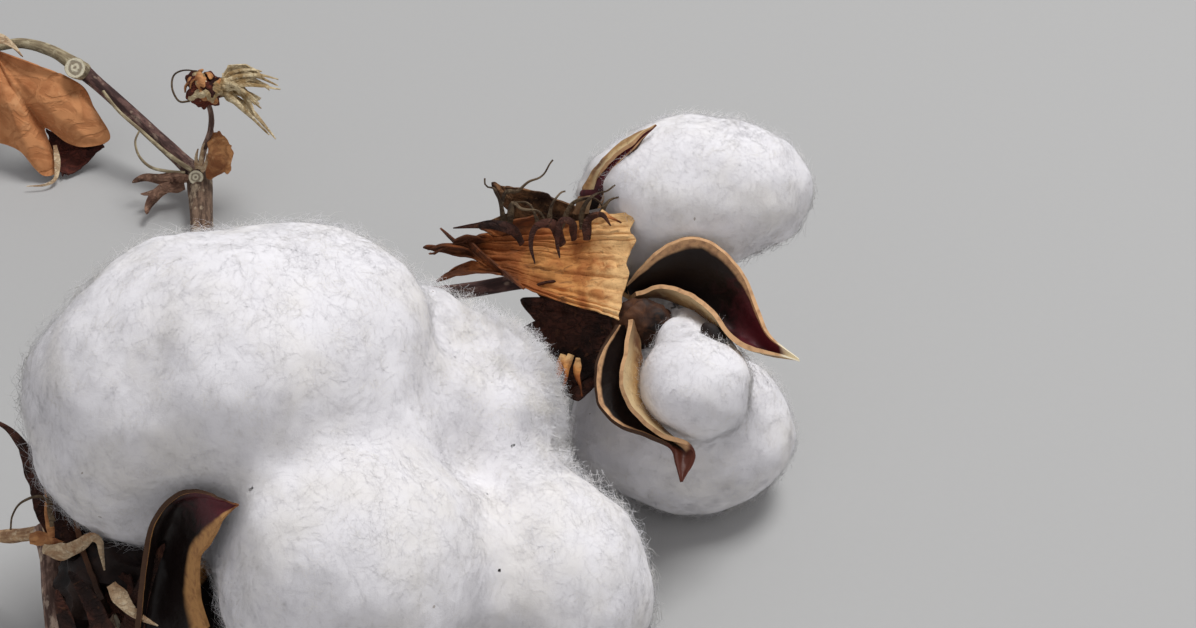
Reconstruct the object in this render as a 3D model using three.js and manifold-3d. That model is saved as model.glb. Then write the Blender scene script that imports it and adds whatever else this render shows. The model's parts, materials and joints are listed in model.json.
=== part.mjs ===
// A cut branch of upland cotton with two open bolls, lying on a level surface.
// Millimetres, +Z up. +Y runs along the main stem, from its flat cut to its fork, and +X towards the small boll.
// Places are given with the branch lying as it was found, z = 0 being the surface; the last lines centre it.
import * as THREE from "three";
import { mergeVertices } from "three/addons/utils/BufferGeometryUtils.js";
import Module from "manifold-3d";

const wasm = await Module();
wasm.setup();

// Driving dimensions
const GAP = 0.4; // clear space between pieces that meet
const STEM_RADIUS = 3.3; // main stem at its cut
const FORK_RADIUS = 2.6; // main stem at its fork
const VALVE_THICKNESS = 0.9;
const BRACT_THICKNESS = 0.6;
const LEAF_THICKNESS = 0.7;
const FINEST_WIDTH = 0.5; // half-width left at the point of a valve or tooth
const LIMB_SIDES = 8;
const LIMB_STEP = 9; // distance between the rings of a limb

const MATERIALS = {
  bark: { color: 0x6d5748, roughness: 0.85 },
  stalk: { color: 0x7d6450, roughness: 0.85 },
  pale_wood: { color: 0xc9bda6, roughness: 0.9 },
  valve: { color: 0x7a4a34, roughness: 0.45 },
  bract: { color: 0x8f6238, roughness: 0.9 },
  leaf: { color: 0xa8622f, roughness: 0.85 },
  bud: { color: 0xb59a6a, roughness: 0.9 },
  cotton: { color: 0xe9e7e8, roughness: 1.0 },
};
for (const [name, look] of Object.entries(MATERIALS))
  MATERIALS[name] = new THREE.MeshStandardMaterial({ ...look, metalness: 0, name });

const point = (xyz) => new THREE.Vector3(...xyz);
const smooth = (from, to, x) => THREE.MathUtils.smoothstep(x, from, to);

// The curve that a limb, a valve's rib or a leaf's margin follows.
const curveThrough = (places) => new THREE.CatmullRomCurve3(places.map(point));

// A round tapering limb along a curve, with flat ends. Each knot is a swelling at a share of its length.
function limb({ along, from, to, knots = [], swell = 0.16 }, grow = 0) {
  const curve = curveThrough(along);
  const length = curve.getLength();
  const steps = Math.max(4, Math.round(length / LIMB_STEP));
  const tube = new THREE.CylinderGeometry(1, 1, 1, LIMB_SIDES, steps);
  const frames = curve.computeFrenetFrames(steps, false);
  const place = tube.attributes.position;
  for (let i = 0; i < place.count; i++) {
    const share = place.getY(i) + 0.5;
    const ring = Math.round(share * steps);
    const knotted = knots.reduce((sum, k) => sum + Math.exp(-(((share - k) * length) ** 2) / 18), 0);
    const radius = THREE.MathUtils.lerp(from, to, share) * (1 + swell * knotted) + grow;
    const end = ring === 0 ? -grow : ring === steps ? grow : 0;
    const p = curve
      .getPointAt(ring / steps)
      .addScaledVector(frames.binormals[ring], place.getX(i) * radius)
      .addScaledVector(frames.normals[ring], place.getZ(i) * radius)
      .addScaledVector(frames.tangents[ring], end);
    place.setXYZ(i, p.x, p.y, p.z);
  }
  return tube;
}

// A soft uneven ball: an ellipsoid with broad bulges towards the directions given, and a low ripple.
function lump({ centre, radii, bulges = [], ripple = 0.05, phase = 0, detail = 3 }, grow = 0) {
  const ball = new THREE.IcosahedronGeometry(1, detail);
  const place = ball.attributes.position;
  const towards = bulges.map(([x, y, z, height, breadth]) => ({
    way: new THREE.Vector3(x, y, z).normalize(),
    height,
    breadth,
  }));
  for (let i = 0; i < place.count; i++) {
    const n = new THREE.Vector3().fromBufferAttribute(place, i).normalize();
    let reach = 1;
    for (const b of towards) reach += b.height * Math.exp((n.dot(b.way) - 1) / b.breadth ** 2);
    reach += ripple * Math.sin(5 * n.x + phase) * Math.sin(4 * n.y + 2 * phase) * Math.cos(5 * n.z - phase);
    place.setXYZ(
      i,
      centre[0] + n.x * (radii[0] * reach + grow),
      centre[1] + n.y * (radii[1] * reach + grow),
      centre[2] + n.z * (radii[2] * reach + grow),
    );
  }
  return ball;
}

// A thin closed sheet over surface(across, along), with across from -1 to 1 and along from 0 to 1. Its thickness
// stands square to the surface, or along facing where a toothed margin would make it cross itself.
function sheet(surface, thickness, acrossSteps, alongSteps, grow, facing) {
  const plate = new THREE.BoxGeometry(2, 1, 1, acrossSteps, alongSteps, 1);
  const place = plate.attributes.position;
  const small = 0.01;
  for (let i = 0; i < place.count; i++) {
    const across = place.getX(i);
    const along = place.getY(i) + 0.5;
    const back = along > 0.5 ? -small : small;
    const side = across > 0 ? -small : small;
    const p = surface(across, along);
    const alongWay = surface(across, along + back).sub(p).multiplyScalar(Math.sign(back)).normalize();
    const acrossWay = surface(across + side, along).sub(p).multiplyScalar(Math.sign(side)).normalize();
    const face = facing ?? new THREE.Vector3().crossVectors(acrossWay, alongWay).normalize();
    p.addScaledVector(face, place.getZ(i) * (thickness + 2 * grow));
    if (Math.abs(across) > 0.999) p.addScaledVector(acrossWay, Math.sign(across) * grow);
    if (along < 0.001 || along > 0.999) p.addScaledVector(alongWay, Math.sign(along - 0.5) * grow);
    place.setXYZ(i, p.x, p.y, p.z);
  }
  return plate;
}

// One valve of the split bur: a trough along its rib, convex towards out, narrow at its foot and
// drawn out into a stiff point.
function valve({ rib, out, half, deep }, grow = 0) {
  const curve = curveThrough(rib);
  const outward = point(out).normalize();
  const widthAt = (u) => FINEST_WIDTH + half * (0.42 + 0.58 * smooth(0, 0.42, u)) * (1 - smooth(0.5, 0.9, u));
  const surface = (v, u) => {
    const held = THREE.MathUtils.clamp(u, 0, 1);
    const t = curve.getTangentAt(held);
    const o = outward.clone().addScaledVector(t, -outward.dot(t)).normalize();
    const s = new THREE.Vector3().crossVectors(t, o);
    const width = widthAt(held);
    return curve
      .getPointAt(held)
      .addScaledVector(s, width * v)
      .addScaledVector(o, -deep * ((width - FINEST_WIDTH) / half) * v * v);
  };
  return sheet(surface, VALVE_THICKNESS, 4, 7, grow);
}

// One toothed bract: a broad fan from its foot, whose outer margin is cut into long narrow teeth.
function bract({ foot, tip, side, teeth = 4, notch = 0.5, spread = 34, footHalf = 3, cup = 3 }, grow = 0) {
  const start = point(foot);
  const middle = point(tip).sub(start);
  const length = middle.length();
  const ahead = middle.normalize();
  const sideways = point(side).addScaledVector(ahead, -point(side).dot(ahead)).normalize();
  const face = new THREE.Vector3().crossVectors(sideways, ahead);
  const lanes = 2 * teeth;
  const surface = (v, u) => {
    const lane = ((v + 1) / 2) * lanes;
    const toNotch = Math.abs((lane % 2) - 1);
    const reach = length * (1 - 0.3 * v * v);
    const share = Math.max(u, 0) * (1 - (1 - notch) * toNotch);
    const angle = THREE.MathUtils.degToRad(spread * v);
    const run = reach * share;
    return start
      .clone()
      .addScaledVector(sideways, footHalf * v + Math.sin(angle) * run)
      .addScaledVector(ahead, Math.cos(angle) * run)
      .addScaledVector(face, cup * (Math.sin(Math.PI * 0.8 * share) - v * v * 0.8 * Math.sqrt(share)));
  };
  return sheet(surface, BRACT_THICKNESS, lanes, 3, grow, face);
}

// The dead leaf: a drooping fan from the end of its stalk to a lobed edge, bellied outwards.
function fanLeaf({ foot, edge, belly }, grow = 0) {
  const rim = curveThrough(edge);
  const start = point(foot);
  const droop = point(belly);
  const surface = (v, u) => {
    const held = THREE.MathUtils.clamp((v + 1) / 2, 0, 1);
    const end = rim.getPoint(held);
    return start
      .clone()
      .lerp(end, 0.04 + 0.96 * u)
      .addScaledVector(droop, Math.sin(Math.PI * u) + 0.25 * Math.sin(9 * v) * u);
  };
  return sheet(surface, LEAF_THICKNESS, 12, 3, grow, droop.clone().normalize());
}

// The pieces, in the order in which they are laid: a later piece is cut clear of every earlier one.
const stems = {
  main_stem: {
    make: limb,
    look: "bark",
    along: [
      [-62, -97, 3.3],
      [-62, -82, 3.3],
      [-66, -45, 3.1],
      [-74, 0, 3.0],
      [-81, 40, 2.9],
      [-84, 64, 3.6],
      [-87.5, 84.5, 5.2],
    ],
    from: STEM_RADIUS,
    to: FORK_RADIUS,
    knots: [0.1, 0.71, 0.98],
  },
  side_stem: {
    make: limb,
    look: "bark",
    along: [
      [-88, 84, 5.5],
      [-98, 91, 11.5],
      [-107, 98, 16],
      [-114.5, 103.2, 20],
    ],
    from: 2.1,
    to: 1.9,
    knots: [0.0, 1.0],
  },
  cut_stub: {
    make: limb,
    look: "pale_wood",
    along: [
      [-114.4, 103.4, 19.6],
      [-114.7, 101.6, 21.2],
      [-114.9, 99.9, 22.8],
    ],
    from: 2.1,
    to: 2.35,
  },
  bud_stalk: {
    make: limb,
    look: "stalk",
    along: [
      [-87.2, 84, 6.5],
      [-86.4, 83.5, 13],
      [-82, 83, 18.5],
      [-81.2, 83.5, 22.5],
      [-83, 84, 26],
    ],
    from: 1.25,
    to: 0.95,
  },
  leaf_stalk: {
    make: limb,
    look: "stalk",
    along: [
      [-115.5, 104, 20.5],
      [-121.5, 106.2, 23.2],
      [-128, 106.8, 24.8],
      [-133, 106, 24.4],
    ],
    from: 1.5,
    to: 1.0,
  },
  right_branch: {
    make: limb,
    look: "bark",
    along: [
      [-79, 36, 4.5],
      [-66, 31, 14],
      [-48, 19, 26],
      [-28.4, 6.5, 35.3],
      [-12, 3.2, 41],
      [-5, 2.4, 41.6],
    ],
    from: 1.9,
    to: 1.3,
    knots: [0.06],
  },
  left_branch: {
    make: limb,
    look: "bark",
    along: [
      [-63, -80, 5],
      [-73, -79, 9.5],
      [-83, -70, 16],
      [-87.8, -58, 20],
      [-91.8, -43.5, 22],
    ],
    from: 2.4,
    to: 1.9,
    knots: [0.0, 0.68, 1.0],
  },
  left_twig: {
    make: limb,
    look: "stalk",
    along: [
      [-92.6, -42.4, 22],
      [-98, -37.5, 19.5],
      [-106, -34, 15],
      [-113.5, -32, 10.5],
    ],
    from: 1.2,
    to: 0.8,
    knots: [0.6],
  },
  left_stalk: {
    make: limb,
    look: "stalk",
    along: [
      [-87, -60.5, 20],
      [-83.5, -65, 19.5],
      [-79.5, -67.5, 19.8],
    ],
    from: 1.6,
    to: 1.7,
  },
  right_boll_base: {
    make: limb,
    look: "stalk",
    along: [
      [-4.6, 2.4, 41.6],
      [-1.5, 2.1, 41.4],
      [1.6, 1.8, 41.2],
    ],
    from: 2.1,
    to: 5.2,
  },
  left_boll_base: {
    make: limb,
    look: "stalk",
    along: [
      [-79.2, -67.3, 19.8],
      [-76.2, -65.9, 20.9],
      [-73, -64.4, 22],
    ],
    from: 2.4,
    to: 6,
  },
};

const valves = {
  // the small boll
  right_valve_front: {
    rib: [
      [4, 0.8, 41],
      [10, -0.6, 39.8],
      [17, -3.4, 38.6],
      [25, -8, 37.7],
      [34, -14.3, 37.7],
    ],
    out: [0, -0.18, -0.98],
    half: 6.8,
    deep: 7.5,
  },
  right_valve_upper: {
    rib: [
      [0.5, 5.5, 45.5],
      [-1, 11, 50.5],
      [-0.8, 15.5, 54.5],
      [9.6, 19.9, 59.7],
    ],
    out: [-0.9, 0.35, 0.1],
    half: 3.8,
    deep: 2.4,
  },
  right_valve_lower: {
    rib: [
      [4.5, -4, 38.5],
      [2.2, -12.5, 33.8],
      [5.4, -19.8, 30.4],
      [12.4, -25, 28.6],
      [14.8, -31, 25.6],
    ],
    out: [-0.45, 0.25, -0.85],
    half: 4.4,
    deep: 2.6,
  },
  right_valve_back: {
    rib: [
      [3.5, 5.5, 37.5],
      [10, 20, 30],
      [18, 31, 24],
      [27, 36, 24],
    ],
    out: [-0.4, 0.5, -0.75],
    half: 7,
    deep: 4,
  },
  // the large boll
  left_valve_top: {
    rib: [
      [-70, -67.5, 26],
      [-67, -65.3, 35],
      [-65, -61.8, 42],
      [-61.4, -59.4, 46.6],
      [-54.3, -59.9, 49.2],
    ],
    out: [-0.35, 0.8, -0.45],
    half: 5.2,
    deep: 3.4,
  },
  left_valve_side: {
    rib: [
      [-77, -60, 25],
      [-82, -49, 26.5],
      [-84, -36, 29],
      [-81, -22, 34],
    ],
    out: [-0.85, -0.1, -0.5],
    half: 7,
    deep: 4,
  },
  left_valve_under: {
    rib: [
      [-71, -60, 18],
      [-61, -46, 12.5],
      [-55, -30, 10.5],
      [-49, -14, 15],
    ],
    out: [-0.35, 0.2, -0.9],
    half: 7,
    deep: 3.5,
  },
  left_valve_front: {
    rib: [
      [-71, -68, 19.5],
      [-57, -79, 14.5],
      [-42, -83.5, 15],
      [-29, -84, 21],
    ],
    out: [-0.25, -0.75, -0.6],
    half: 7.5,
    deep: 4,
  },
};

const bracts = {
  right_bract_front: {
    foot: [5.2, -0.8, 47.6],
    tip: [-31, 4, 49.5],
    side: [0.16, -0.84, -0.5],
    footHalf: 10,
    spread: -13,
    notch: 0.45,
    teeth: 5,
    cup: 3,
  },
  right_bract_low: {
    foot: [2.5, -8, 38.5],
    tip: [-13.6, -7.9, 34.4],
    side: [0.15, -0.6, -0.75],
    footHalf: 5,
    spread: 25,
    notch: 0.75,
    cup: 3,
  },
  right_bract_back: {
    foot: [0, 10.5, 43.5],
    tip: [-22.7, 10.5, 48.5],
    side: [0.3, 0.3, 0.9],
    footHalf: 5,
    spread: 15,
    notch: 0.5,
    cup: -3,
  },
  left_bract_side: {
    foot: [-84.9, -49.8, 26.6],
    tip: [-97, -31.5, 42],
    side: [0.6, 0.6, -0.5],
    footHalf: 2.5,
    spread: 8,
    teeth: 3,
    notch: 0.5,
    cup: 2,
  },
  left_bract_front: {
    foot: [-75, -71.5, 23],
    tip: [-80.5, -60, 38.5],
    side: [0.9, 0.1, 0.2],
    footHalf: 5,
    spread: 22,
    teeth: 3,
    notch: 0.15,
    cup: -3,
  },
  left_bract_under: {
    foot: [-78, -66, 15.5],
    tip: [-96, -78, 4],
    side: [0.5, -0.8, 0],
    footHalf: 5,
    spread: 30,
    notch: 0.4,
    cup: -2,
  },
  stem_bract: {
    foot: [-85, 83, 8],
    tip: [-80.2, 82.5, 18.5],
    side: [0.7, -0.3, -0.5],
    footHalf: 2.2,
    spread: 14,
    teeth: 2,
    notch: 0.1,
    cup: 1.5,
  },
  bud_bract: {
    foot: [-79, 83.5, 31.5],
    tip: [-70.5, 82.5, 26.5],
    side: [0, 0.5, 0.85],
    footHalf: 2.5,
    spread: 30,
    teeth: 4,
    notch: 0.5,
    cup: 1,
  },
};

const leaves = {
  dead_leaf: {
    foot: [-134, 105.5, 24],
    edge: [
      [-119, 107.5, 21.5],
      [-109.5, 98, 9],
      [-118, 98, 8.5],
      [-121, 89.5, 2],
      [-131, 96, 5],
      [-149, 93, 3],
      [-146, 107, 16],
    ],
    belly: [0.5, -4.5, 3.5],
  },
};

const lumps = {
  dried_bud: { look: "bud", centre: [-82, 84, 30.6], radii: [4.6, 4.2, 4.4], ripple: 0.1, detail: 1 },
  // the small boll
  right_lock_top: {
    centre: [18.2, 18, 50],
    radii: [18.8, 14.5, 13.6],
    bulges: [
      [0.95, 0.1, 0.1, 0.07, 0.4],
      [-0.97, 0, 0.2, 0.1, 0.4],
    ],
  },
  right_lock_middle: { centre: [17, -16, 32.7], radii: [10, 9.5, 10], detail: 3, phase: 1 },
  right_lock_low: { centre: [15.6, -7, 14.8], radii: [21, 14.5, 15.5], phase: 2, ripple: 0.02, detail: 3 },
  right_lock_back: { centre: [9.5, 19.5, 21], radii: [15.5, 14.5, 21.5], phase: 3, detail: 2 },
  // the large boll
  left_lock_top: {
    centre: [-57, -35.8, 50.8],
    radii: [31, 24.5, 24],
    bulges: [
      [0.7, 0.45, 0.5, 0.14, 0.4],
      [-0.95, -0.3, -0.2, 0.09, 0.4],
      [0.2, 0.6, 0.75, 0.06, 0.4],
      [-0.52, -0.38, -0.77, 0.26, 0.33],
    ],
    phase: 0.5,
    detail: 4,
  },
  left_lock_front: {
    centre: [-38.5, -59.5, 34.8],
    radii: [21.3, 21, 22],
    phase: 1.5,
  },
  left_lock_right: { centre: [-7.5, -50, 20], radii: [16.5, 18, 20.5], phase: 2.5 },
  left_lock_behind: {
    centre: [-24, -23.5, 33.5],
    radii: [17.5, 16.5, 16],
    bulges: [[-0.45, 0.45, 0.77, 0.22, 0.45]],
    phase: 3.5,
  },
  left_lock_under: { centre: [-47, -38, 16], radii: [19, 18.5, 16.3], phase: 4.5, ripple: 0.03, detail: 2 },
};

const plan = { ...stems };
for (const [name, its] of Object.entries(valves)) plan[name] = { make: valve, look: "valve", ...its };
for (const [name, its] of Object.entries(bracts)) plan[name] = { make: bract, look: "bract", ...its };
for (const [name, its] of Object.entries(leaves)) plan[name] = { make: fanLeaf, look: "leaf", ...its };
for (const [name, its] of Object.entries(lumps)) plan[name] = { make: lump, look: "cotton", ...its };

function solidOf(geometry) {
  geometry.deleteAttribute("normal");
  geometry.deleteAttribute("uv");
  const joined = mergeVertices(geometry, 1e-4);
  const made = new wasm.Mesh({
    numProp: 3,
    vertProperties: joined.attributes.position.array,
    triVerts: new Uint32Array(joined.index.array),
  });
  return new wasm.Manifold(made);
}

function geometryOf(solid) {
  const made = solid.getMesh();
  return new THREE.BufferGeometry()
    .setAttribute("position", new THREE.BufferAttribute(made.vertProperties, 3))
    .setIndex(new THREE.BufferAttribute(made.triVerts, 1));
}

const largest = (solid) => solid.decompose().reduce((a, b) => (b.volume() > a.volume() ? b : a));

const apart = (a, b) => ["0", "1", "2"].some((k) => a.min[k] > b.max[k] || a.max[k] < b.min[k]);

// The surface that the branch lies on: nothing reaches below it.
const ground = solidOf(new THREE.BoxGeometry(600, 600, 60).translate(0, 0, -30));

const branch = new THREE.Group();
const laid = [];
for (const [name, its] of Object.entries(plan)) {
  let solid = solidOf(its.make(its));
  const room = solid.boundingBox();
  for (const earlier of laid) if (!apart(room, earlier.room)) solid = solid.subtract(earlier.grown);
  solid = largest(solid.subtract(ground));
  const grown = solidOf(its.make(its, GAP));
  laid.push({ grown, room: grown.boundingBox() });
  const mesh = new THREE.Mesh(geometryOf(solid), MATERIALS[its.look]);
  mesh.name = name;
  branch.add(mesh);
}

// The origin is under the middle of the branch, on the surface.
const box = new THREE.Box3().setFromObject(branch);
const middle = box.getCenter(new THREE.Vector3());
branch.position.set(-middle.x, -middle.y, -box.min.z);

export default branch;
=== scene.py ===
"""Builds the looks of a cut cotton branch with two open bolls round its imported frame."""

import json
import math
from itertools import product

import bpy
import numpy as np
from mathutils.bvhtree import BVHTree
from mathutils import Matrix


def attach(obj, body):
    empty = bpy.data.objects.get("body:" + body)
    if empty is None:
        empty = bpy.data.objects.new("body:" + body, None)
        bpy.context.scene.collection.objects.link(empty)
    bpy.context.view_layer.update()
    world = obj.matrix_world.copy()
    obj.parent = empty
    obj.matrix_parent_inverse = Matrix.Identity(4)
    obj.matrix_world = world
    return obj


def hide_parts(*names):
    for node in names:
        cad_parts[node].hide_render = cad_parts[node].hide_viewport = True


bl_info = {
    "name": "Cut Cotton Branch",
    "version": (1, 0, 0),
    "blender": (4, 5, 0),
    "location": "View3D > Sidebar > Cotton",
    "description": "Makes the stems, burs, bracts, dead leaf and cotton of a cut branch with two open bolls",
    "category": "Object",
}

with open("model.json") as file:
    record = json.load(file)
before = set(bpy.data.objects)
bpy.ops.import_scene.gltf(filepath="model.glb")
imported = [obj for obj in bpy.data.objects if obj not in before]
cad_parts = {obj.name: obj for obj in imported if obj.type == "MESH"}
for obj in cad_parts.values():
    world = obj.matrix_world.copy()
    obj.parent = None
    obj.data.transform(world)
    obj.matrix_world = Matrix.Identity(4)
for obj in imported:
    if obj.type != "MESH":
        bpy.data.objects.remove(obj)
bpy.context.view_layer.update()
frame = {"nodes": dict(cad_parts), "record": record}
CUT_END = next(mount for mount in frame["record"]["mounts"] if mount["name"] == "cut_end")["pos_m"]
CUT_PLACE = (-62, -97, 3.3)
MM = 0.001
THIN_GAP = 0.5  # how far thin pieces stay off the floor, in millimetres
PORES_PER_METRE = 620
# A rim that lies in shadow has painted shade on it; this share tells which rims those are.
SHADED_RIM_SHARE = 0.045  # a rim with less tan beside it is dark
MATT = 0.05  # the specular level of cotton
THIN_STEM = 1.6  # a stem of less than this radius has finer bark
CUT_SHARE = 0.94  # of an end's radius, up to which it is cut wood
SCALES = 26  # of the dried bud
VOXEL = 0.6  # of the remeshed cotton, in millimetres
VOTING_ROUNDS = 6  # that smooth the seams between locks


def paint(code):
    """The linear colour of a hex code."""
    shares = [int(code[i : i + 2], 16) / 255 for i in (0, 2, 4)]
    return tuple(s / 12.92 if s < 0.04045 else ((s + 0.055) / 1.055) ** 2.4 for s in shares)


# Places and shapes


def lying(places):
    """Places in millimetres, measured on the branch as it lies, in the frame's metres."""
    return (np.asarray(places, float) - CUT_PLACE) * MM + CUT_END


def above_floor(places, gap=0.7):
    """The same places, none nearer to the floor than the gap in millimetres."""
    places = np.array(places, float)
    places[..., 2] = np.maximum(places[..., 2], gap * MM)
    return places


def unit(vectors):
    vectors = np.asarray(vectors, float)
    return vectors / np.maximum(np.linalg.norm(vectors, axis=-1, keepdims=True), 1e-12)


def ease(low, high, x):
    """Goes smoothly from 0 at low to 1 at high."""
    x = np.clip((x - low) / (high - low), 0, 1)
    return x * x * (3 - 2 * x)


def rough(places, size, seed):
    """Smooth noise from -1 to 1, with lumps of about that size."""
    p = np.asarray(places, float) / size + 31.7 * seed
    cell = np.floor(p).astype(np.int64)
    part = p - cell
    part = part * part * (3 - 2 * part)
    total = 0
    for corner in product((0, 1), repeat=3):
        key = cell + corner
        mixed = key[..., 0] * 73856093 ^ key[..., 1] * 19349663 ^ key[..., 2] * 83492791
        mixed = ((mixed ^ mixed >> 13) * 1274126177) & 0xFFFFFF
        weight = np.where(corner, part, 1 - part).prod(-1)
        total = total + weight * ((mixed ^ mixed >> 11) % 4096 / 2047.5 - 1)
    return total


def rough_ways(places, size, seed):
    """A smooth field of vectors."""
    return np.stack([rough(places, size, seed + k) for k in (1, 2, 3)], -1)


class Path:
    """A smooth line through places, walked by the share of its length."""

    def __init__(self, places):
        p = np.asarray(places, float)
        p = np.vstack([2 * p[0] - p[1], p, 2 * p[-1] - p[-2]])
        t = np.linspace(0, 1, 40, endpoint=False)[:, None]
        line = []
        for a, b, c, d in zip(p, p[1:], p[2:], p[3:]):
            before, span, after = (max(np.linalg.norm(y - x), 1e-9) ** 0.5 for x, y in ((a, b), (b, c), (c, d)))
            leave = ((b - a) / before - (c - a) / (before + span) + (c - b) / span) * span
            reach = ((c - b) / span - (d - b) / (span + after) + (d - c) / after) * span
            line.append(
                (2 * t**3 - 3 * t**2 + 1) * b
                + (t**3 - 2 * t**2 + t) * leave
                + (3 * t**2 - 2 * t**3) * c
                + (t**3 - t**2) * reach
            )
        self.line = np.vstack([*line, p[-2:-1]])
        self.gone = np.r_[0, np.cumsum(np.linalg.norm(np.diff(self.line, axis=0), axis=1))]
        self.length = self.gone[-1]

    def at(self, share):
        walked = np.clip(share, 0, 1) * self.length
        return np.stack([np.interp(walked, self.gone, self.line[:, i]) for i in range(3)], -1)

    def way(self, share):
        return unit(self.at(np.minimum(share + 2e-3, 1)) - self.at(np.maximum(share - 2e-3, 0)))


def pick_only(*pieces):
    """Selects these pieces alone, the first of them active."""
    bpy.ops.object.select_all(action="DESELECT")
    for piece in pieces:
        piece.select_set(True)
    bpy.context.view_layer.objects.active = pieces[0]


def read(rows, key, width=3, kind=float):
    """A value, or a row of values, for each of a mesh's points, corners or faces."""
    values = np.empty(len(rows) * width, kind)
    rows.foreach_get(key, values)
    return values.reshape(-1, width) if width > 1 else values


def points(piece):
    return read(piece.data.vertices, "co")


def put_points(piece, places):
    piece.data.vertices.foreach_set("co", np.asarray(places, float).ravel())
    piece.data.update()


def note(piece, name, values):
    """Keeps a number or a vector for each point, for the finish to read."""
    values = np.asarray(values, float)
    wide = values.ndim == 2
    layer = piece.data.attributes.new(name, "FLOAT_VECTOR" if wide else "FLOAT", "POINT")
    layer.data.foreach_set("vector" if wide else "value", values.ravel())


def apply(piece, kind, **settings):
    """Adds a modifier with these settings and applies it."""
    pick_only(piece)
    modifier = piece.modifiers.new(kind.title(), kind)
    for key, value in settings.items():
        setattr(modifier, key, value)
    bpy.ops.object.modifier_apply(modifier=modifier.name)
    return piece


def join(pieces, name):
    pick_only(*pieces)
    if len(pieces) > 1:
        bpy.ops.object.join()
    piece = bpy.context.view_layer.objects.active
    piece.name = piece.data.name = name
    return piece


def weld(piece, within=0.004 * MM, outwards=False):
    """Merges points that lie together, and turns the faces outwards if asked."""
    pick_only(piece)
    bpy.ops.object.mode_set(mode="EDIT")
    bpy.ops.mesh.select_all(action="SELECT")
    bpy.ops.mesh.remove_doubles(threshold=within)
    if outwards:
        bpy.ops.mesh.normals_make_consistent(inside=False)
    bpy.ops.object.mode_set(mode="OBJECT")
    return piece


def linked(name, data):
    """A new object in the scene that shows the data."""
    thing = bpy.data.objects.new(name, data)
    bpy.context.scene.collection.objects.link(thing)
    return thing


def basic(name, add, **settings):
    """A piece from one of Blender's basic shapes."""
    bpy.ops.object.select_all(action="DESELECT")
    add(**settings)
    piece = bpy.context.view_layer.objects.active
    piece.name = piece.data.name = name
    return piece


def ball(name, finer):
    """A round piece of radius 1."""
    return basic(name, bpy.ops.mesh.primitive_ico_sphere_add, subdivisions=finer, radius=1)


def grid(name, across, along, shape):
    """A piece bent from a flat grid. shape gives each point's place from its shares across and along."""
    piece = basic(name, bpy.ops.mesh.primitive_grid_add, x_subdivisions=across, y_subdivisions=along, size=2)
    flat = (points(piece)[:, :2] + 1) / 2
    put_points(piece, shape(piece, flat[:, 0], flat[:, 1]))
    return piece


def dress(piece, *finishes):
    """Gives a piece its finishes. A wall that is added later takes the second, and its rim the third."""
    for finish in finishes:
        piece.data.materials.append(finish)
    return piece


def settle(piece, nodes=(), angle=60):
    """Smooths a finished piece, hangs it from its body and hides the frame's nodes that it stands for."""
    pick_only(piece)
    if angle:
        bpy.ops.object.shade_smooth_by_angle(angle=math.radians(angle))
    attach(piece, "root")
    if nodes:
        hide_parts(*nodes)


def carried(around, ways):
    """A side for each step of a line, which turns no more than the line does."""
    side = np.empty_like(ways)
    side[0] = unit(around - ways[0] * (around @ ways[0]))
    for i in range(1, len(ways)):
        side[i] = unit(side[i - 1] - ways[i] * (side[i - 1] @ ways[i]))
    return side


def limb(name, places, start, end, knots=(), *, sides, step, relief, seed=0):
    """A round stem along a line, with flat closed ends. Sizes are in millimetres.

    grain is the place on the stem unrolled along its length, and pith goes from 0 in the middle of an end to 1.
    """
    path = Path(lying(places))
    long_mm = path.length / MM
    rings = max(6, round(long_mm / step))
    cap = np.array([0, 0.12, 0.28, 0.45, 0.62, 0.8, 0.95])
    share = np.r_[cap * 0, np.linspace(0, 1, rings + 1), cap * 0 + 1]
    fill = np.r_[cap, np.ones(rings + 1), cap[::-1]]
    ways = path.way(share)
    normals = carried(np.array([0.15, 0.3, -1.0]), ways)
    others = np.cross(ways, normals)
    spine = path.at(share)

    def shape(piece, s, t):
        row = np.rint(t * (len(share) - 1)).astype(int)
        turn = 2 * math.pi * np.where(s > 0.999, 0, s)
        reach, u = fill[row], share[row]
        radius = start + (end - start) * u
        knotted = sum(np.exp(-(((u - k) * long_mm) ** 2) / (1.9 * start) ** 2) for k in knots) if knots else 0
        ring = np.cos(turn)[:, None] * normals[row] + np.sin(turn)[:, None] * others[row]
        grain = np.stack([np.cos(turn) * radius, np.sin(turn) * radius, u * long_mm], -1) * MM
        ridges = rough(grain * (1, 1, 0.12), 0.7 * MM, seed) + 0.8 * rough(grain * (1, 1, 0.5), 1.9 * MM, seed + 4)
        bumps = rough(grain, 0.6 * MM, seed + 9)
        radius = radius * (1 + 0.16 * knotted) + relief * (0.6 * ridges + 0.35 * bumps) * reach
        note(piece, "grain", grain)
        note(piece, "pith", reach)
        dome = relief * 0.8 * rough(ring * reach[:, None], 0.3, seed) * (reach < 0.9)
        away = np.where(u < 0.5, -1, 1) * dome
        place = spine[row] + ring * (radius * reach * MM)[:, None] + ways[row] * (away * MM)[:, None]
        place[:, 2] = np.maximum(place[:, 2], 0.02 * MM)
        return place

    return weld(grid(name, sides, len(share) - 1, shape), outwards=True)


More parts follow.
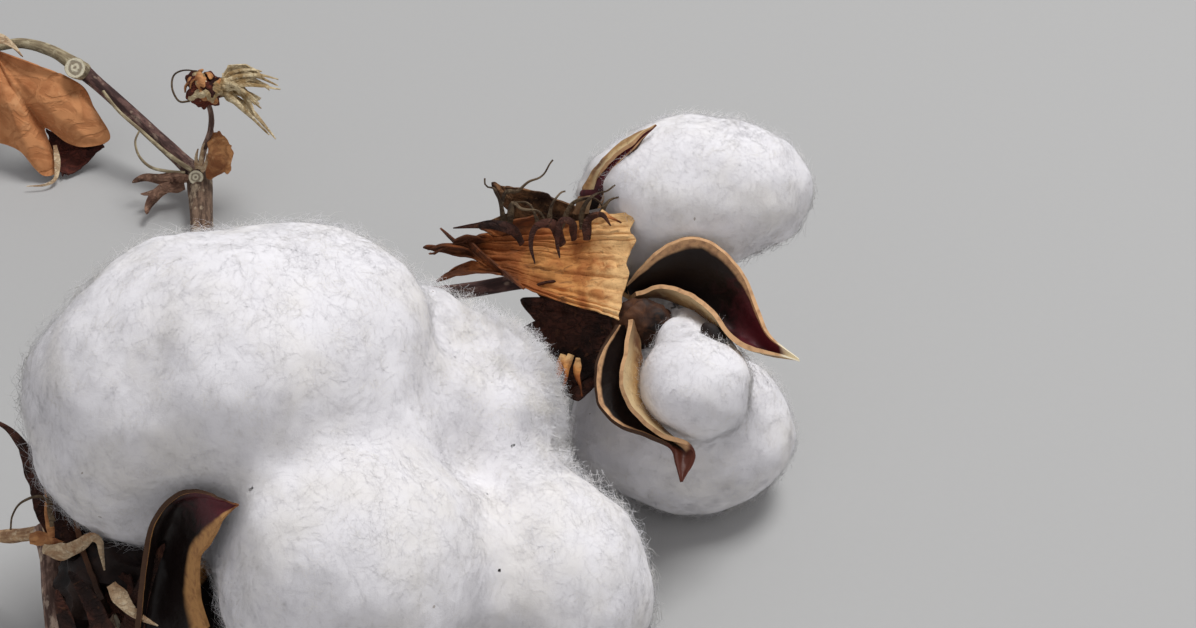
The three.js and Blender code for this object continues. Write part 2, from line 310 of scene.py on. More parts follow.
def strip(name, places, width, facing, finish, twist, seed, gutter=0.0, sharp=0.9):
    """A thin dry strip along a line, which narrows to a point. Sizes are in millimetres and twist in turns."""
    path, facing = Path(lying(places)), np.asarray(facing, float)
    rows = max(8, round(path.length / MM / 0.5))

    def shape(piece, s, t):
        v = 2 * s - 1
        way = path.way(t)
        up = unit(facing - way * (way @ facing)[:, None])
        side = np.cross(way, up)
        turn = 2 * math.pi * twist * t
        level = np.cos(turn)[:, None] * side + np.sin(turn)[:, None] * up
        face = np.cos(turn)[:, None] * up - np.sin(turn)[:, None] * side
        half = 0.5 * width * ((1 - t) ** sharp * (0.5 + 0.5 * ease(0, 0.25, t)) + 0.03)
        place = path.at(t)
        half = half * (1 + 0.25 * rough(place, 2.5 * MM, seed))
        crumple = 0.35 * rough(place, 3 * MM, seed + 3) - gutter * v * v * half
        return above_floor(place + level * (v * half * MM)[:, None] + face * (crumple * MM)[:, None], THIN_GAP)

    return apply(dress(grid(name, 5, rows, shape), finish), "SOLIDIFY", thickness=0.3 * MM, offset=0)


def plate(name, corners, finish, bow, seed):
    """A small crumpled plate between four corners, with ragged edges, which bulges by bow millimetres."""
    a, b, c, d = np.asarray(corners, float)
    face = unit(np.cross(b - a, d - a))

    def shape(piece, s, t):
        x = s + 0.07 * rough(np.stack([s * 3, t * 7, s * 0], -1), 1.0, seed) * (2 * s - 1)
        y = t + 0.07 * rough(np.stack([s * 8, t * 3, s * 0], -1), 1.0, seed + 4) * (2 * t - 1)
        x, y = x[:, None], y[:, None]
        place = a * ((1 - x) * (1 - y)) + b * (x * (1 - y)) + c * (x * y) + d * ((1 - x) * y)
        bulge = bow * np.sin(math.pi * s) * np.sin(math.pi * t)
        bulge = bulge + 0.5 * rough(place, 4, seed) + 0.3 * rough(place, 1.8, seed + 2)
        return above_floor(lying(place + face * bulge[:, None]), THIN_GAP)

    return apply(dress(grid(name, 30, 30, shape), finish), "SOLIDIFY", thickness=0.3 * MM, offset=0)


def plates(name, finish, *sheets):
    """Several plates as one piece, from the corners, the bow and the seed of each."""
    return join([plate("plate", corners, finish, bow, seed) for corners, bow, seed in sheets], name)


# Finishes


class Wire:
    """A shader socket. Arithmetic on it adds Math nodes to its finish."""

    def __init__(self, finish, socket):
        self.finish, self.socket = finish, socket

    def math(self, operation, first, second=0.0):
        return self.finish.add("ShaderNodeMath", {"operation": operation}, {0: first, 1: second})

    def __add__(self, other):
        return self.math("ADD", self, other)

    def __sub__(self, other):
        return self.math("SUBTRACT", self, other)

    def __rsub__(self, other):
        return self.math("SUBTRACT", other, self)

    def __mul__(self, other):
        return self.math("MULTIPLY", self, other)

    def __abs__(self):
        return self.math("ABSOLUTE", self)

    __radd__, __rmul__ = __add__, __mul__

    def most(self, other):
        return self.math("MAXIMUM", self, other)

    def ease(self, low, high):
        """Goes smoothly from 0 at low to 1 at high."""
        values = {"Value": self, "From Min": low, "From Max": high}
        return self.finish.add("ShaderNodeMapRange", {"interpolation_type": "SMOOTHSTEP"}, values)


class Finish:
    """A material whose nodes are added one call at a time."""

    def __init__(self, name, roughness, specular=0.3):
        self.material = bpy.data.materials.new(name)
        self.material.use_nodes = True
        self.nodes, self.links = self.material.node_tree.nodes, self.material.node_tree.links
        self.shader = self.nodes["Principled BSDF"]
        self.shader.inputs["Roughness"].default_value = roughness
        self.shader.inputs["Specular IOR Level"].default_value = specular

    def feed(self, socket, value):
        if isinstance(value, Wire):
            self.links.new(value.socket, socket)
        elif socket.type == "RGBA" and len(value) == 3:
            socket.default_value = (*value, 1)
        else:
            socket.default_value = value

    def add(self, kind, settings=None, values=None, output=0):
        """Adds a node with its settings, then the values or links of its sockets."""
        node = self.nodes.new(kind)
        for key, value in (settings or {}).items():
            setattr(node, key, value)
        for key, value in (values or {}).items():
            self.feed(node.inputs[key], value)
        return Wire(self, node.outputs[output])

    def where(self, source, stretch):
        """Object coordinates, or the vector of one of the piece's attributes, stretched."""
        if source == "Object":
            place = self.add("ShaderNodeTexCoord", output="Object")
        else:
            place = self.add("ShaderNodeAttribute", {"attribute_name": source}, output="Vector")
        if stretch == (1, 1, 1):
            return place
        return self.add("ShaderNodeVectorMath", {"operation": "MULTIPLY"}, {0: place, 1: stretch})

    def number(self, name):
        return self.add("ShaderNodeAttribute", {"attribute_name": name}, output="Fac")

    def shares(self):
        """The shares across and along a piece that was bent from a grid."""
        place = self.add("ShaderNodeUVMap", {"uv_map": "UVMap"})
        parts = self.add("ShaderNodeSeparateXYZ", None, {0: place})
        return parts, Wire(self, parts.socket.node.outputs["Y"])

    def noise(self, size, detail, stretch=(1, 1, 1), source="Object", harsh=0.55, warp=0.0):
        """Noise from 0 to 1 with lumps of about that size in millimetres."""
        values = {"Vector": self.where(source, stretch), "Scale": 1 / (size * MM), "Detail": detail}
        return self.add("ShaderNodeTexNoise", None, {**values, "Roughness": harsh, "Distortion": warp})

    def mix(self, factor, first, second):
        """One colour going over to another as the factor goes from 0 to 1."""
        return self.add("ShaderNodeMix", {"data_type": "RGBA"}, {0: factor, 6: first, 7: second}, 2)

    def base(self, factor, first, second):
        """Starts the base colour as a mix of two."""
        self.tone = self.mix(factor, first, second)

    def lay(self, factor, colour):
        """Lays another colour over it by that factor."""
        self.tone = self.mix(factor, self.tone, colour)

    def colour(self):
        self.feed(self.shader.inputs["Base Color"], self.tone)
        return self

    def dull(self, value):
        self.feed(self.shader.inputs["Roughness"], value)
        return self

    def bump(self, height, deep, strength=0.8):
        """Relief of about that depth in millimetres."""
        values = {"Height": height, "Distance": deep * MM, "Strength": strength}
        self.feed(self.shader.inputs["Normal"], self.add("ShaderNodeBump", None, values))
        return self


def sizes():
    return bpy.context.scene.cotton_branch_sizes


def hues():
    return bpy.context.scene.cotton_branch_colours


def finish_for(name, make, *tints):
    """The finish of that name, made the first time that it is asked for."""
    title = f"{name}_finish"
    return bpy.data.materials.get(title) or make(title, *tints).material


def bark_finish(name, body, dark, pale):
    """Dry bark: long streaks, dark hollows and patches, and pale raised pores."""
    f = Finish(name, 0.82)
    streaks = f.noise(0.9, 4, (1, 1, 0.16), "grain")
    patches = f.noise(2.6, 4, (1, 1, 0.6), "grain", harsh=0.65)
    fine = f.noise(0.35, 4, (1, 1, 0.5), "grain")
    pores = {"Vector": f.where("grain", (1, 1, 0.55)), "Scale": PORES_PER_METRE, "Randomness": 1.0}
    pore = 1 - f.add("ShaderNodeTexVoronoi", None, pores).ease(0.16, 0.3)
    f.base(streaks.ease(0.38, 0.62), dark, body)
    f.lay(patches.ease(0.5, 0.62) * 0.7, dark)
    f.lay((1 - patches.ease(0.36, 0.46)) * 0.6, pale)
    f.lay(fine.ease(0.52, 0.7) * 0.45, dark)
    f.lay(pore * f.noise(2.5, 1).ease(0.4, 0.6) * 0.75, pale)
    return f.colour().dull(0.7 + streaks * 0.25).bump(streaks + fine * 0.5 + pore * 0.6 - patches * 0.6, 0.25)


def cut_finish(name, wood, rim, pith):
    """A cut end: a pale rim round a dark ring, and a pale middle with a dark pith."""
    f = Finish(name, 0.85)
    out = f.number("pith") + (f.noise(1.1, 3) - 0.5) * 0.5
    ring = 1 - abs(out - 0.55).ease(0.06, 0.22)
    f.base(f.noise(0.4, 4).ease(0.4, 0.7) * 0.4, wood, pith)
    f.lay(ring * 0.65, rim)
    f.lay((1 - out.ease(0.08, 0.2)) * 0.7, rim)
    f.lay(out.ease(0.95, 1.0) * 0.4, rim)
    return f.colour().bump(f.noise(0.3, 4) - ring * 0.8, 0.15)


def husk_finish(name, body, dark, pale):
    """The outside of a bur: tough, streaked along its length, with pale rims and a brown foot."""
    f = Finish(name, 0.6)
    across, along = f.shares()
    edge = abs(across - 0.5) * 2
    streaks = f.noise(1.6, 4, warp=0.6)
    blotch = f.noise(5, 3)
    f.base(blotch.ease(0.3, 0.6), dark, body)
    f.lay(streaks.ease(0.45, 0.75) * 0.6, pale)
    f.lay(edge.ease(0.66, 1.0) * 0.7, pale)
    f.lay((1 - along.ease(0.02, 0.3)) * 0.75, dark)
    f.lay(f.noise(0.7, 4).ease(0.58, 0.75) * 0.5, dark)
    return f.colour().dull(0.5 + streaks * 0.3).bump(streaks + f.noise(0.5, 3) * 0.6, 0.15)


def lining_finish(name, deep, warm, pale, spine, near, far, wine):
    """The inside of a bur: near black, partly its own dark colour and partly painted shade deep in the trough, dark red
    towards its point, and tan for a share of its width at each rim.
    """
    f = Finish(name, 0.4)
    across, along = f.shares()
    spray = f.noise(2.2, 4, warp=0.8)
    worn = across + (f.noise(5, 2) - 0.5) * 0.04
    rim = (1 - worn.ease(near * 0.55, near)).most(worn.ease(1 - far, 1 - far * 0.55))
    # The near black base colour is partly painted shade, since the trough faces away from the light.
    f.base((along + (spray - 0.5) * 0.4).ease(wine, wine + 0.35), deep, warm)
    f.lay(spray.ease(0.5, 0.75) * 0.35, deep)
    f.lay(rim, f.mix(f.noise(1.2, 4).ease(0.4, 0.75) * 0.5, pale, warm))
    f.lay(along.ease(spine[0] + 0.02, spine[0] + 0.05), paint(spine[1]))
    return f.colour().dull(0.28 + spray * 0.35 + rim * 0.3).bump(spray + f.noise(0.6, 3) * 0.4, 0.12)


def rim_finish(name, body, dark, spine, near, far):
    """The rim of a bur: pale, dry and finely streaked where the lining beside it is tan, and painted dark as shade
    elsewhere, where it lies in shadow.
    """
    f = Finish(name, 0.75)
    across, along = f.shares()
    spray = f.noise(1.5, 4)
    f.base(spray.ease(0.4, 0.75) * 0.5, body, dark)
    f.lay((along + (spray - 0.5) * 0.2).ease(0.86, 1.0) * 0.5, dark)
    # Painted shade: a rim with almost no tan beside it lies in shadow and is painted near black.
    for low, high, share in ((0.55, 0.45, near), (0.45, 0.55, far)):
        if share < SHADED_RIM_SHARE:
            f.lay(across.ease(low, high) * 0.92, paint("2e1914"))
    f.lay(along.ease(spine[0], spine[0] + 0.04), paint(spine[1]))
    return f.colour().bump(spray, 0.1)


def dry_finish(name, body, dark, pale, deep=0.3, size=1.0):
    """A dead bract or leaf: crumpled, with painted shade in its furrows, darker patches and painted light on its
    ridges.
    """
    f = Finish(name, 0.8)
    patches = f.noise(6 * size, 4, warp=0.4)
    crumbs = f.noise(0.8 * size, 5)
    wave = f.noise(2.6 * size, 4, (0.7, 1, 1.3), warp=0.9, harsh=0.5)
    furrow = (1 - abs(wave - 0.5) * 2).ease(0.82, 0.97)
    ridge = abs(f.noise(1.9 * size, 3, warp=0.5) - 0.5).ease(0.1, 0.24)
    f.base(patches.ease(0.36, 0.56), dark, body)
    # Painted light on the ridges.
    f.lay(ridge * 0.45, pale)
    # Painted shade in the furrows.
    f.lay(furrow * 0.45, dark)
    f.lay(crumbs.ease(0.5, 0.72) * 0.4, dark)
    return f.colour().dull(0.7 + crumbs * 0.25).bump(ridge * 0.7 - furrow * 0.9 + crumbs * 0.7 + patches * 0.6, deep)


def bract_finish(name, body, dark, pale, rust):
    """The large dry bract: pale at its foot, rusty further out and dark at its tips, partly its own colour and partly
    painted light on its lit foot and painted shade towards its tips; finely ribbed, with painted shade between the
    ribs.
    """
    f = Finish(name, 0.8)
    along = f.shares()[1]
    patches = f.noise(7, 4, warp=0.4)
    crumbs = f.noise(0.8, 5)
    ribs = f.noise(1.3, 4, (0.3, 1, 1), warp=0.6)
    out = along + (patches - 0.5) * 0.9
    # Pale at the foot, partly painted light on the lit foot; darker out to the tips, partly painted shade.
    f.base(out.ease(0.05, 0.35), pale, body)
    f.lay(out.ease(0.3, 0.55) * 0.85, rust)
    f.lay(out.ease(0.55, 0.85) * 0.85, dark)
    f.lay(patches.ease(0.54, 0.66) * 0.5, rust)
    f.lay(ribs.ease(0.52, 0.68) * 0.5, rust)
    # Painted shade between the ribs.
    f.lay((1 - ribs.ease(0.32, 0.42)) * (out.ease(0.0, 0.7) * 0.5 + 0.2), dark)
    f.lay(crumbs.ease(0.56, 0.72) * 0.35, dark)
    return f.colour().dull(0.7 + crumbs * 0.25).bump(ribs + crumbs * 0.5 + patches * 0.6, 0.6)


def cotton_finish(name, body, warm, shade):
    """Seed cotton: matt and white, faintly mottled, with painted shade between its clumps and fine tufts."""
    f = Finish(name, 1.0, MATT)
    clumps = f.noise(2.4, 5, warp=1.2, harsh=0.6)
    fine = f.noise(0.5, 4, warp=1.5)
    f.base(f.noise(15, 3).ease(0.42, 0.7) * 0.7, body, warm)
    # Painted shade between the clumps and the fine tufts.
    f.lay(clumps.ease(0.45, 0.8) * 0.2, shade)
    f.lay(fine.ease(0.5, 0.8) * 0.2, shade)
    f.lay(f.noise(1.3, 0).ease(0.885, 0.9) * 0.6, paint("8a7a68"))
    return f.colour().bump(clumps + fine * 0.35, 0.24, 0.4)


def fibre_finish(name, body, warm):
    """Loose fibres."""
    f = Finish(name, 1.0, MATT)
    f.base(f.noise(4, 3).ease(0.4, 0.7), body, warm)
    return f.colour()


# What makes each finish, and its colours: those of the panel by name, the others as hex codes. Numbers after them
# are the depth of its relief in millimetres and the size of its crumple.
LOOKS = {
    "bark": (bark_finish, "bark", "bark_dark", "bark_pale"),
    "purple_bark": (bark_finish, "6b4f49", "3a2826", "9a8474"),
    "pink_bark": (bark_finish, "94786a", "4f3a33", "cbb5a2"),
    "tan_stalk": (bark_finish, "c6a27c", "8d694b", "e3cfae"),
    "stalk": (bark_finish, "8c735c", "564235", "b9a383"),
    "pale_stalk": (bark_finish, "b3a586", "7f7058", "cfc4a4"),
    "cut_wood": (cut_finish, "ded6bd", "5f4b38", "b3a283"),
    "bur_outside": (husk_finish, "bur", "6b4730", "dfc698"),
    # Near black painted shade, for a valve's outside in shadow and for the pieces that stand for shadow.
    "bur_hollow": (husk_finish, "1f1412", "0b0706", "35221a"),
    "bur_heart": (husk_finish, "4a2f22", "140c0a", "70492f"),
    "bract": (bract_finish, "bract", "44261a", "e6b980", "9a5428"),
    "brown_bract": (dry_finish, "87603f", "3a2418", "b48c62", 0.4, 0.8),
    # The brown of a dry bract, darkened as painted shade, for the bracts, teeth and blades that lie in shadow.
    "dark_bract": (dry_finish, "4d2b20", "1f110d", "80543a", 0.4),
    "straw": (dry_finish, "dccaa4", "9a7e55", "f1e7cb", 0.15, 0.6),
    "orange_leaf": (dry_finish, "cd935f", "8a5533", "e3b384", 0.15),
    "pink_leaf": (dry_finish, "9c7863", "54392e", "c4a58c", 0.3, 0.7),
    "leaf_top": (dry_finish, "leaf", "a3643a", "e0ac7c", 0.2, 2.4),
    "leaf_under": (dry_finish, "5a2a20", "2a120f", "7d4a38"),
    "pale_rim": (dry_finish, "d9c2a0", "a58160", "efe2c8", 0.2, 0.6),
    "grey_tooth": (dry_finish, "6d5b45", "3c2e22", "97876a", 0.15, 0.6),
    "bud_heart": (dry_finish, "6e3120", "2c110e", "a85f38", 0.3, 0.6),
    "cotton": (cotton_finish, "cotton", "cotton_warm", "cotton_shade"),
    "cotton_fibre": (fibre_finish, "cotton", "cotton_warm"),
}


def tint(value):
    """A colour of the panel from its name, or one from its hex code. Numbers stay as they are."""
    if not isinstance(value, str):
        return value
    return getattr(hues(), value) if hasattr(hues(), value) else paint(value)


def look(name):
    """The finish that the table has under that name."""
    make, *values = LOOKS[name]
    return finish_for(name, make, *map(tint, values))


def bur_looks(name, near, far, wine):
    """The outside, inside and rim of a valve. near and far are the shares of its width that are tan."""
    # The side valve of the big boll lies in the shadow under it: all its faces take the dark heart finish as painted
    # shade.
    if name == "left_valve_side":
        return [look("bur_heart")] * 3
    rim = paint("d8ab7e") if name.startswith("right") else hues().bur_rim
    spine = SPINES.get(name, PLAIN_SPINE)
    inside = (hues().bur_inside, paint("5e2029"), rim, spine, near, far, wine)
    return (
        # The top valve of the big boll is shaded on its outside, so that outside is near black painted shade.
        look("bur_hollow" if name == "left_valve_top" else "bur_outside"),
        finish_for(f"{name}_inside", lining_finish, *inside),
        finish_for(f"{name}_rim", rim_finish, rim, paint("7c4d30"), spine, near, far),
    )


# Burs and bracts


def trough(rib, out, half, deep):
    """The far rim, the keel and the near rim of a trough that follows a rib."""
    path = Path(rib)
    t = np.linspace(0, 1, 9)
    way = path.way(t)
    up = unit(unit(out) - way * (way @ unit(out))[:, None])
    side = np.cross(way, up)
    width = half * (0.42 + 0.58 * ease(0, 0.42, t)) * (1 - ease(0.5, 1, t)) + 0.3
    rise = up * (deep * width / half)[:, None]
    keel = path.at(t)
    return keel + side * width[:, None] - rise, keel, keel - side * width[:, None] - rise


def valve(name, far, keel, near, tan, wine, seed):
    """One valve of a split bur: a trough between its two rims and its keel, which ends in a stiff point."""
    lines = [Path(lying(places)) for places in (far, keel, near)]

    def shape(piece, s, t):
        v = 2 * s - 1
        a, k, b = (line.at(t) for line in lines)
        across, down = (a - b) / 2, k - (a + b) / 2
        wide = np.linalg.norm(across, axis=1) / MM
        place = k + across * v[:, None] - down * (np.abs(v) ** 2.2)[:, None]
        flare = 0.7 * ease(0.75, 1, np.abs(v)) * np.minimum(1, wide / 4)
        place = place + (unit(across) * np.sign(v)[:, None] * 0.6 + unit(down) * 0.7) * (flare * MM)[:, None]
        crease = 0.25 * rough(place, 3.2 * MM, seed) + 0.18 * rough(place, 1.3 * MM, seed + 3)
        place = place + unit(down) * (crease * ease(0, 0.1, 1 - t) * MM)[:, None]
        group = piece.vertex_groups.new(name="wall")
        for i, weight in enumerate(1 - 0.72 * ease(0.7, 1, t)):
            group.add([i], weight, "REPLACE")
        return above_floor(place)

    piece = dress(grid(name, 26, 64, shape), *bur_looks(name, *tan, wine))
    wall = dict(thickness=0.8 * MM, offset=0, vertex_group="wall", use_quality_normals=True)
    return apply(piece, "SOLIDIFY", material_offset=1, material_offset_rim=2, **wall)


def bract(
    name, finish, foot, tip, side, teeth, spread, foot_half, seed,
    notch=0.5, cup=3, curl=0.25, crumple=1.0, torn=0.0, bunch=0.0,
):
    """A toothed bract: a pleated fan from its foot, whose margin is cut into long curling teeth.

    crumple scales its folds, torn is how far its foot edge is ragged in millimetres, and bunch makes its teeth overlap.
    """
    rng = np.random.default_rng(seed + 50)
    start = np.asarray(foot, float)
    middle = np.asarray(tip, float) - start
    length = np.linalg.norm(middle)
    ahead = unit(middle)
    sideways = unit(np.asarray(side, float) - ahead * (np.asarray(side, float) @ ahead))
    face = np.cross(sideways, ahead)
    tooth_pieces = []
    for i in range(teeth):
        middle_v = (2 * i + 1) / teeth - 1
        long_by = 1 + 0.25 * rng.uniform(-0.8, 0.35)
        lift, bend, turn = rng.normal(0, curl), rng.normal(0, 0.12), rng.normal(0, 0.9)

        def shape(piece, s, t):
            past = np.clip((t - notch) / (1 - notch), 0, 1)
            narrow = (1 - past) ** 0.7 * (1 + (bunch - 0.35) * ease(0, 0.25, past)) + 0.02
            lane = 2 * s - 1
            v = middle_v + lane * narrow / teeth
            reach = length * (1 - 0.3 * v * v)
            beyond = (t - notch) * length * (1 - 0.3 * middle_v**2) * long_by
            run = np.where(t < notch, reach * t, reach * notch + beyond)
            run = run + torn * rough(np.stack([v * 5, v * 0, v * 0], -1), 1.0, seed + 8) * (1 - t) ** 4
            angle = np.radians(spread * v)
            place = start + sideways * (foot_half * v + np.sin(angle) * run)[:, None]
            place = place + ahead * (np.cos(angle) * run)[:, None]
            bow = cup * (np.sin(math.pi * 0.8 * t) - v * v * 0.8 * np.sqrt(t))
            pleat = np.stack([v * 9 + seed, t * 1.4, v * 0], -1)
            folds = 0.4 * (0.5 - np.abs(rough(pleat, 0.8, seed))) + 0.45 * rough(place, 5, seed + 2)
            folds = folds + 0.35 * (0.4 - np.abs(rough(place, 2.4, seed + 5))) + 0.08 * rough(place, 0.9, seed + 6)
            off = bow + crumple * folds * ease(0, 0.15, t + 0.08)
            off = off + lift * length * past**1.6 - 0.9 * lane**2 * narrow * ease(0, 0.4, past)
            sway = bend * length * past**1.8
            twist = np.sin(turn * past) * lane * narrow * length * 0.06
            place = place + face * (off + twist)[:, None] + sideways * sway[:, None]
            return above_floor(lying(place), THIN_GAP)

        tooth_pieces.append(grid(f"{name}_tooth", 10, 60, shape))
    piece = dress(weld(join(tooth_pieces, name), within=0.02 * MM), finish)
    return apply(piece, "SOLIDIFY", thickness=0.32 * MM, offset=0)


# Cotton


def boll_cotton(name, nodes, puffs, hollow, soft, seed):
    """The soft uneven surface of a boll's locks, with puffs added and a hollow pressed in. soft rounds its valleys."""
    pieces = []
    for node in nodes:
        pieces.append(linked(name, frame["nodes"][node].data.copy()))
        weld(pieces[-1], within=1e-7)
        apply(pieces[-1], "DISPLACE", strength=0.2 * MM, mid_level=0)
    for centre, radii in puffs:
        pieces.append(ball("puff", 4))
        put_points(pieces[-1], lying(centre) + points(pieces[-1]) * np.asarray(radii) * MM)
    piece = join(pieces, name)
    piece.data.materials.clear()
    for out in (soft, -soft):
        apply(piece, "REMESH", mode="VOXEL", voxel_size=VOXEL * 1.3 * MM)
        apply(piece, "SMOOTH", factor=0.5, iterations=12)
        apply(piece, "DISPLACE", strength=out * MM, mid_level=0)
    apply(piece, "REMESH", mode="VOXEL", voxel_size=VOXEL * MM)
    apply(piece, "SMOOTH", factor=0.5, iterations=30)
    places = points(piece)
    if hollow:
        centre, way, wide, deep = hollow
        near = np.exp(-((np.linalg.norm(places - lying(centre), axis=1) / (wide * MM)) ** 2))
        places = places + np.asarray(way) * (deep * MM * near)[:, None]
        put_points(piece, places)
    normals = read(piece.data.vertices, "normal")
    off = 1.1 * rough(places, 14 * MM, seed) + 0.4 * rough(places, 5 * MM, seed + 7)
    off = sizes().cotton_lumps / MM * (off + 0.1 * rough(places, 2 * MM, seed + 11))
    put_points(piece, above_floor(places + normals * ((off - 0.1) * MM)[:, None], 0.1))
    note(piece, "skin", read(piece.data.vertices, "normal"))
    return piece


def split_locks(boll, middles):
    """Cuts a boll's cotton into its locks by their centres and radii, each closed towards its own centre."""
    places = points(boll)
    far = [np.linalg.norm((places - lying(c)) / (np.asarray(radii) * MM), axis=1) for c, radii in middles.values()]
    nearest = np.argmin(far, 0)
    corners = read(boll.data.loops, "vertex_index", 1, np.int32)
    starts = read(boll.data.polygons, "loop_start", 1, np.int32)
    owner = nearest[corners[starts]]
    face_of = np.repeat(np.arange(len(starts)), np.diff(np.r_[starts, len(corners)]))
    for _ in range(VOTING_ROUNDS):
        votes = np.zeros((len(places), len(far)))
        np.add.at(votes, (corners, owner[face_of]), 1)
        tally = np.zeros((len(starts), len(far)))
        np.add.at(tally, face_of, votes[corners])
        owner = np.argmax(tally, 1)
    locks = {}
    for i, (name, (centre, _)) in enumerate(middles.items()):
        lock = linked(name, boll.data.copy())
        pick_only(lock)
        bpy.ops.object.mode_set(mode="EDIT")
        bpy.ops.mesh.select_all(action="DESELECT")
        bpy.ops.object.mode_set(mode="OBJECT")
        lock.data.polygons.foreach_set("select", owner != i)
        bpy.ops.object.mode_set(mode="EDIT")
        bpy.ops.mesh.select_mode(type="FACE")
        bpy.ops.mesh.delete(type="FACE")
        bpy.ops.mesh.select_mode(type="EDGE")
        bpy.ops.mesh.select_all(action="DESELECT")
        bpy.ops.mesh.select_non_manifold(
            use_wire=False, use_multi_face=False, use_non_contiguous=False, use_verts=False
        )
        bpy.ops.mesh.extrude_edges_move()
        bpy.ops.mesh.merge(type="CENTER")
        bpy.ops.mesh.select_mode(type="VERT")
        bpy.ops.object.mode_set(mode="OBJECT")
        inner = [v for v in lock.data.vertices if v.select]
        for v in inner:
            v.co = lying(centre)
        shade_as_boll(lock, {v.index for v in inner})
        locks[name] = lock
    return locks


def shade_as_boll(lock, inner):
    """Shades a lock as the whole boll was, so that nothing shows where it meets the next one."""
    mesh = lock.data
    mesh.polygons.foreach_set("use_smooth", np.ones(len(mesh.polygons), bool))
    skin = read(mesh.attributes["skin"].data, "vector")
    normals = np.empty((len(mesh.loops), 3))
    for face in mesh.polygons:
        corners = list(face.vertices)
        hidden = any(v in inner for v in corners)
        normals[face.loop_start : face.loop_start + len(corners)] = face.normal if hidden else skin[corners]
    mesh.normals_split_custom_set(normals.tolist())


def spindles(name, lines, normals, half):
    """Thin closed fibres along lines of places, all as one mesh. half is each one's half width in millimetres.

    They are shaded almost as the cotton under them is, so that they look like a soft coat and not like wires.
    """
    count, steps = lines.shape[:2]
    ways = unit(np.gradient(lines, axis=1))
    side = unit(np.cross(ways, normals))
    up = np.cross(side, ways)
    body = np.sin(math.pi * np.linspace(0.12, 0.9, steps))[None, :, None] * half[:, None, None] * MM
    corners, shades = [lines[:, :1]], [normals[:, :1]]
    for k in range(1, steps - 1):
        for turn in (0, 1, 2):
            a = 2 * math.pi * (turn / 3 + 1 / 12)
            round_way = side * math.cos(a) + up * math.sin(a)
            corners.append((lines + round_way * body)[:, k : k + 1])
            shades.append((normals + 0.35 * round_way)[:, k : k + 1])
    corners.append(lines[:, -1:])
    shades.append(normals[:, -1:])
    places = np.concatenate(corners, 1)
    per = places.shape[1]
    faces = [(0, 1 + j, 1 + (j + 1) % 3) for j in range(3)]
    for k in range(steps - 3):
        for j in range(3):
            a, b = 1 + 3 * k + j, 1 + 3 * k + (j + 1) % 3
            faces += [(a, b + 3, b), (a, a + 3, b + 3)]
    faces += [(per - 1, per - 4 + (j + 1) % 3, per - 4 + j) for j in range(3)]
    faces = (np.arange(count)[:, None, None] * per + np.array(faces)[None]).reshape(-1)
    mesh = bpy.data.meshes.new(name)
    mesh.vertices.add(count * per)
    mesh.vertices.foreach_set("co", places.ravel())
    mesh.loops.add(len(faces))
    mesh.loops.foreach_set("vertex_index", faces.astype(np.int32))
    mesh.polygons.add(len(faces) // 3)
    mesh.polygons.foreach_set("loop_start", np.arange(0, len(faces), 3, dtype=np.int32))
    mesh.update(calc_edges=True)
    mesh.validate()
    mesh.polygons.foreach_set("use_smooth", np.ones(len(mesh.polygons), bool))
    mesh.normals_split_custom_set_from_vertices(unit(np.concatenate(shades, 1).reshape(-1, 3)).tolist())
    return linked(name, mesh)


class Skin:
    """The triangles of a boll's cotton, which fibres start from and lie along."""

    def __init__(self, boll):
        boll.data.calc_loop_triangles()
        self.tris, self.places = read(boll.data.loop_triangles, "vertices", kind=np.int32), points(boll)
        self.tree = BVHTree.FromPolygons(self.places.tolist(), self.tris.tolist())


def grow_fibres(name, skin, count, length, half, low, high, steps, stand, seed, curly, near=None):
    """Fibres that start between two heights over cotton and stand off it. Sizes are in millimetres."""
    rng = np.random.default_rng(seed)
    a, b, c = (skin.places[skin.tris[:, i]] for i in range(3))
    square = np.cross(b - a, c - a)
    weight = np.linalg.norm(square, axis=1)
    if near is not None:
        centre, radius = near
        weight = weight * np.exp(-(((a - lying(centre)) / (radius * MM)) ** 2).sum(-1))
    pick = rng.choice(len(weight), count, p=weight / weight.sum())
    p, q = rng.random((2, count, 1))
    p, q = np.where(p + q > 1, 1 - p, p), np.where(p + q > 1, 1 - q, q)
    roots = a[pick] + (b - a)[pick] * p + (c - a)[pick] * q
    normal = unit(square[pick])
    flow = unit(np.cross(normal, rough_ways(roots, 7 * MM, seed % 5) + 0.6 * rough_ways(roots, 2.5 * MM, 9)))
    stray = rng.normal(0, 0.55, (count, 1))
    heading = flow * np.cos(stray) + np.cross(normal, flow) * np.sin(stray)
    aside = np.cross(normal, heading)
    reach = length * rng.uniform(0.55, 1.35, (count, 1))
    bow = rng.normal(0, 0.22, (count, 1)) * reach
    heights = rng.uniform(low, high, (count, 1))
    lift = rng.uniform(0.2, 1.0, (count, 1)) ** 2 * stand
    phase_a, phase_b = rng.uniform(0, 6.28, (2, count, 1))
    pace = rng.uniform(1.5, 3.5, (count, 1))
    lines, ups = np.empty((count, steps, 3)), np.empty((count, steps, 3))
    for k in range(steps):
        t = k / (steps - 1)
        guess = roots + (heading * (t * reach) + aside * (bow * 4 * (t - t * t))) * MM
        for i, place in enumerate(guess):
            hit, up, _, _ = skin.tree.find_nearest(place)
            lines[i, k], ups[i, k] = hit, up
        arch = heights * (0.25 + 0.75 * math.sin(math.pi * min(1, t * 0.9 + 0.1)))
        lines[:, k] += ups[:, k] * (arch + lift * t**1.5) * MM
        angle = pace * t * 2 * math.pi
        swing = curly * min(1, 3 * t)
        lines[:, k] += (aside * np.sin(angle + phase_a) + normal * np.cos(angle + phase_b)) * swing * MM
    lines[..., 2] = np.maximum(lines[..., 2], 0.1 * MM)
    return spindles(name, lines, ups, half * rng.uniform(0.7, 1.3, count))


# Pieces


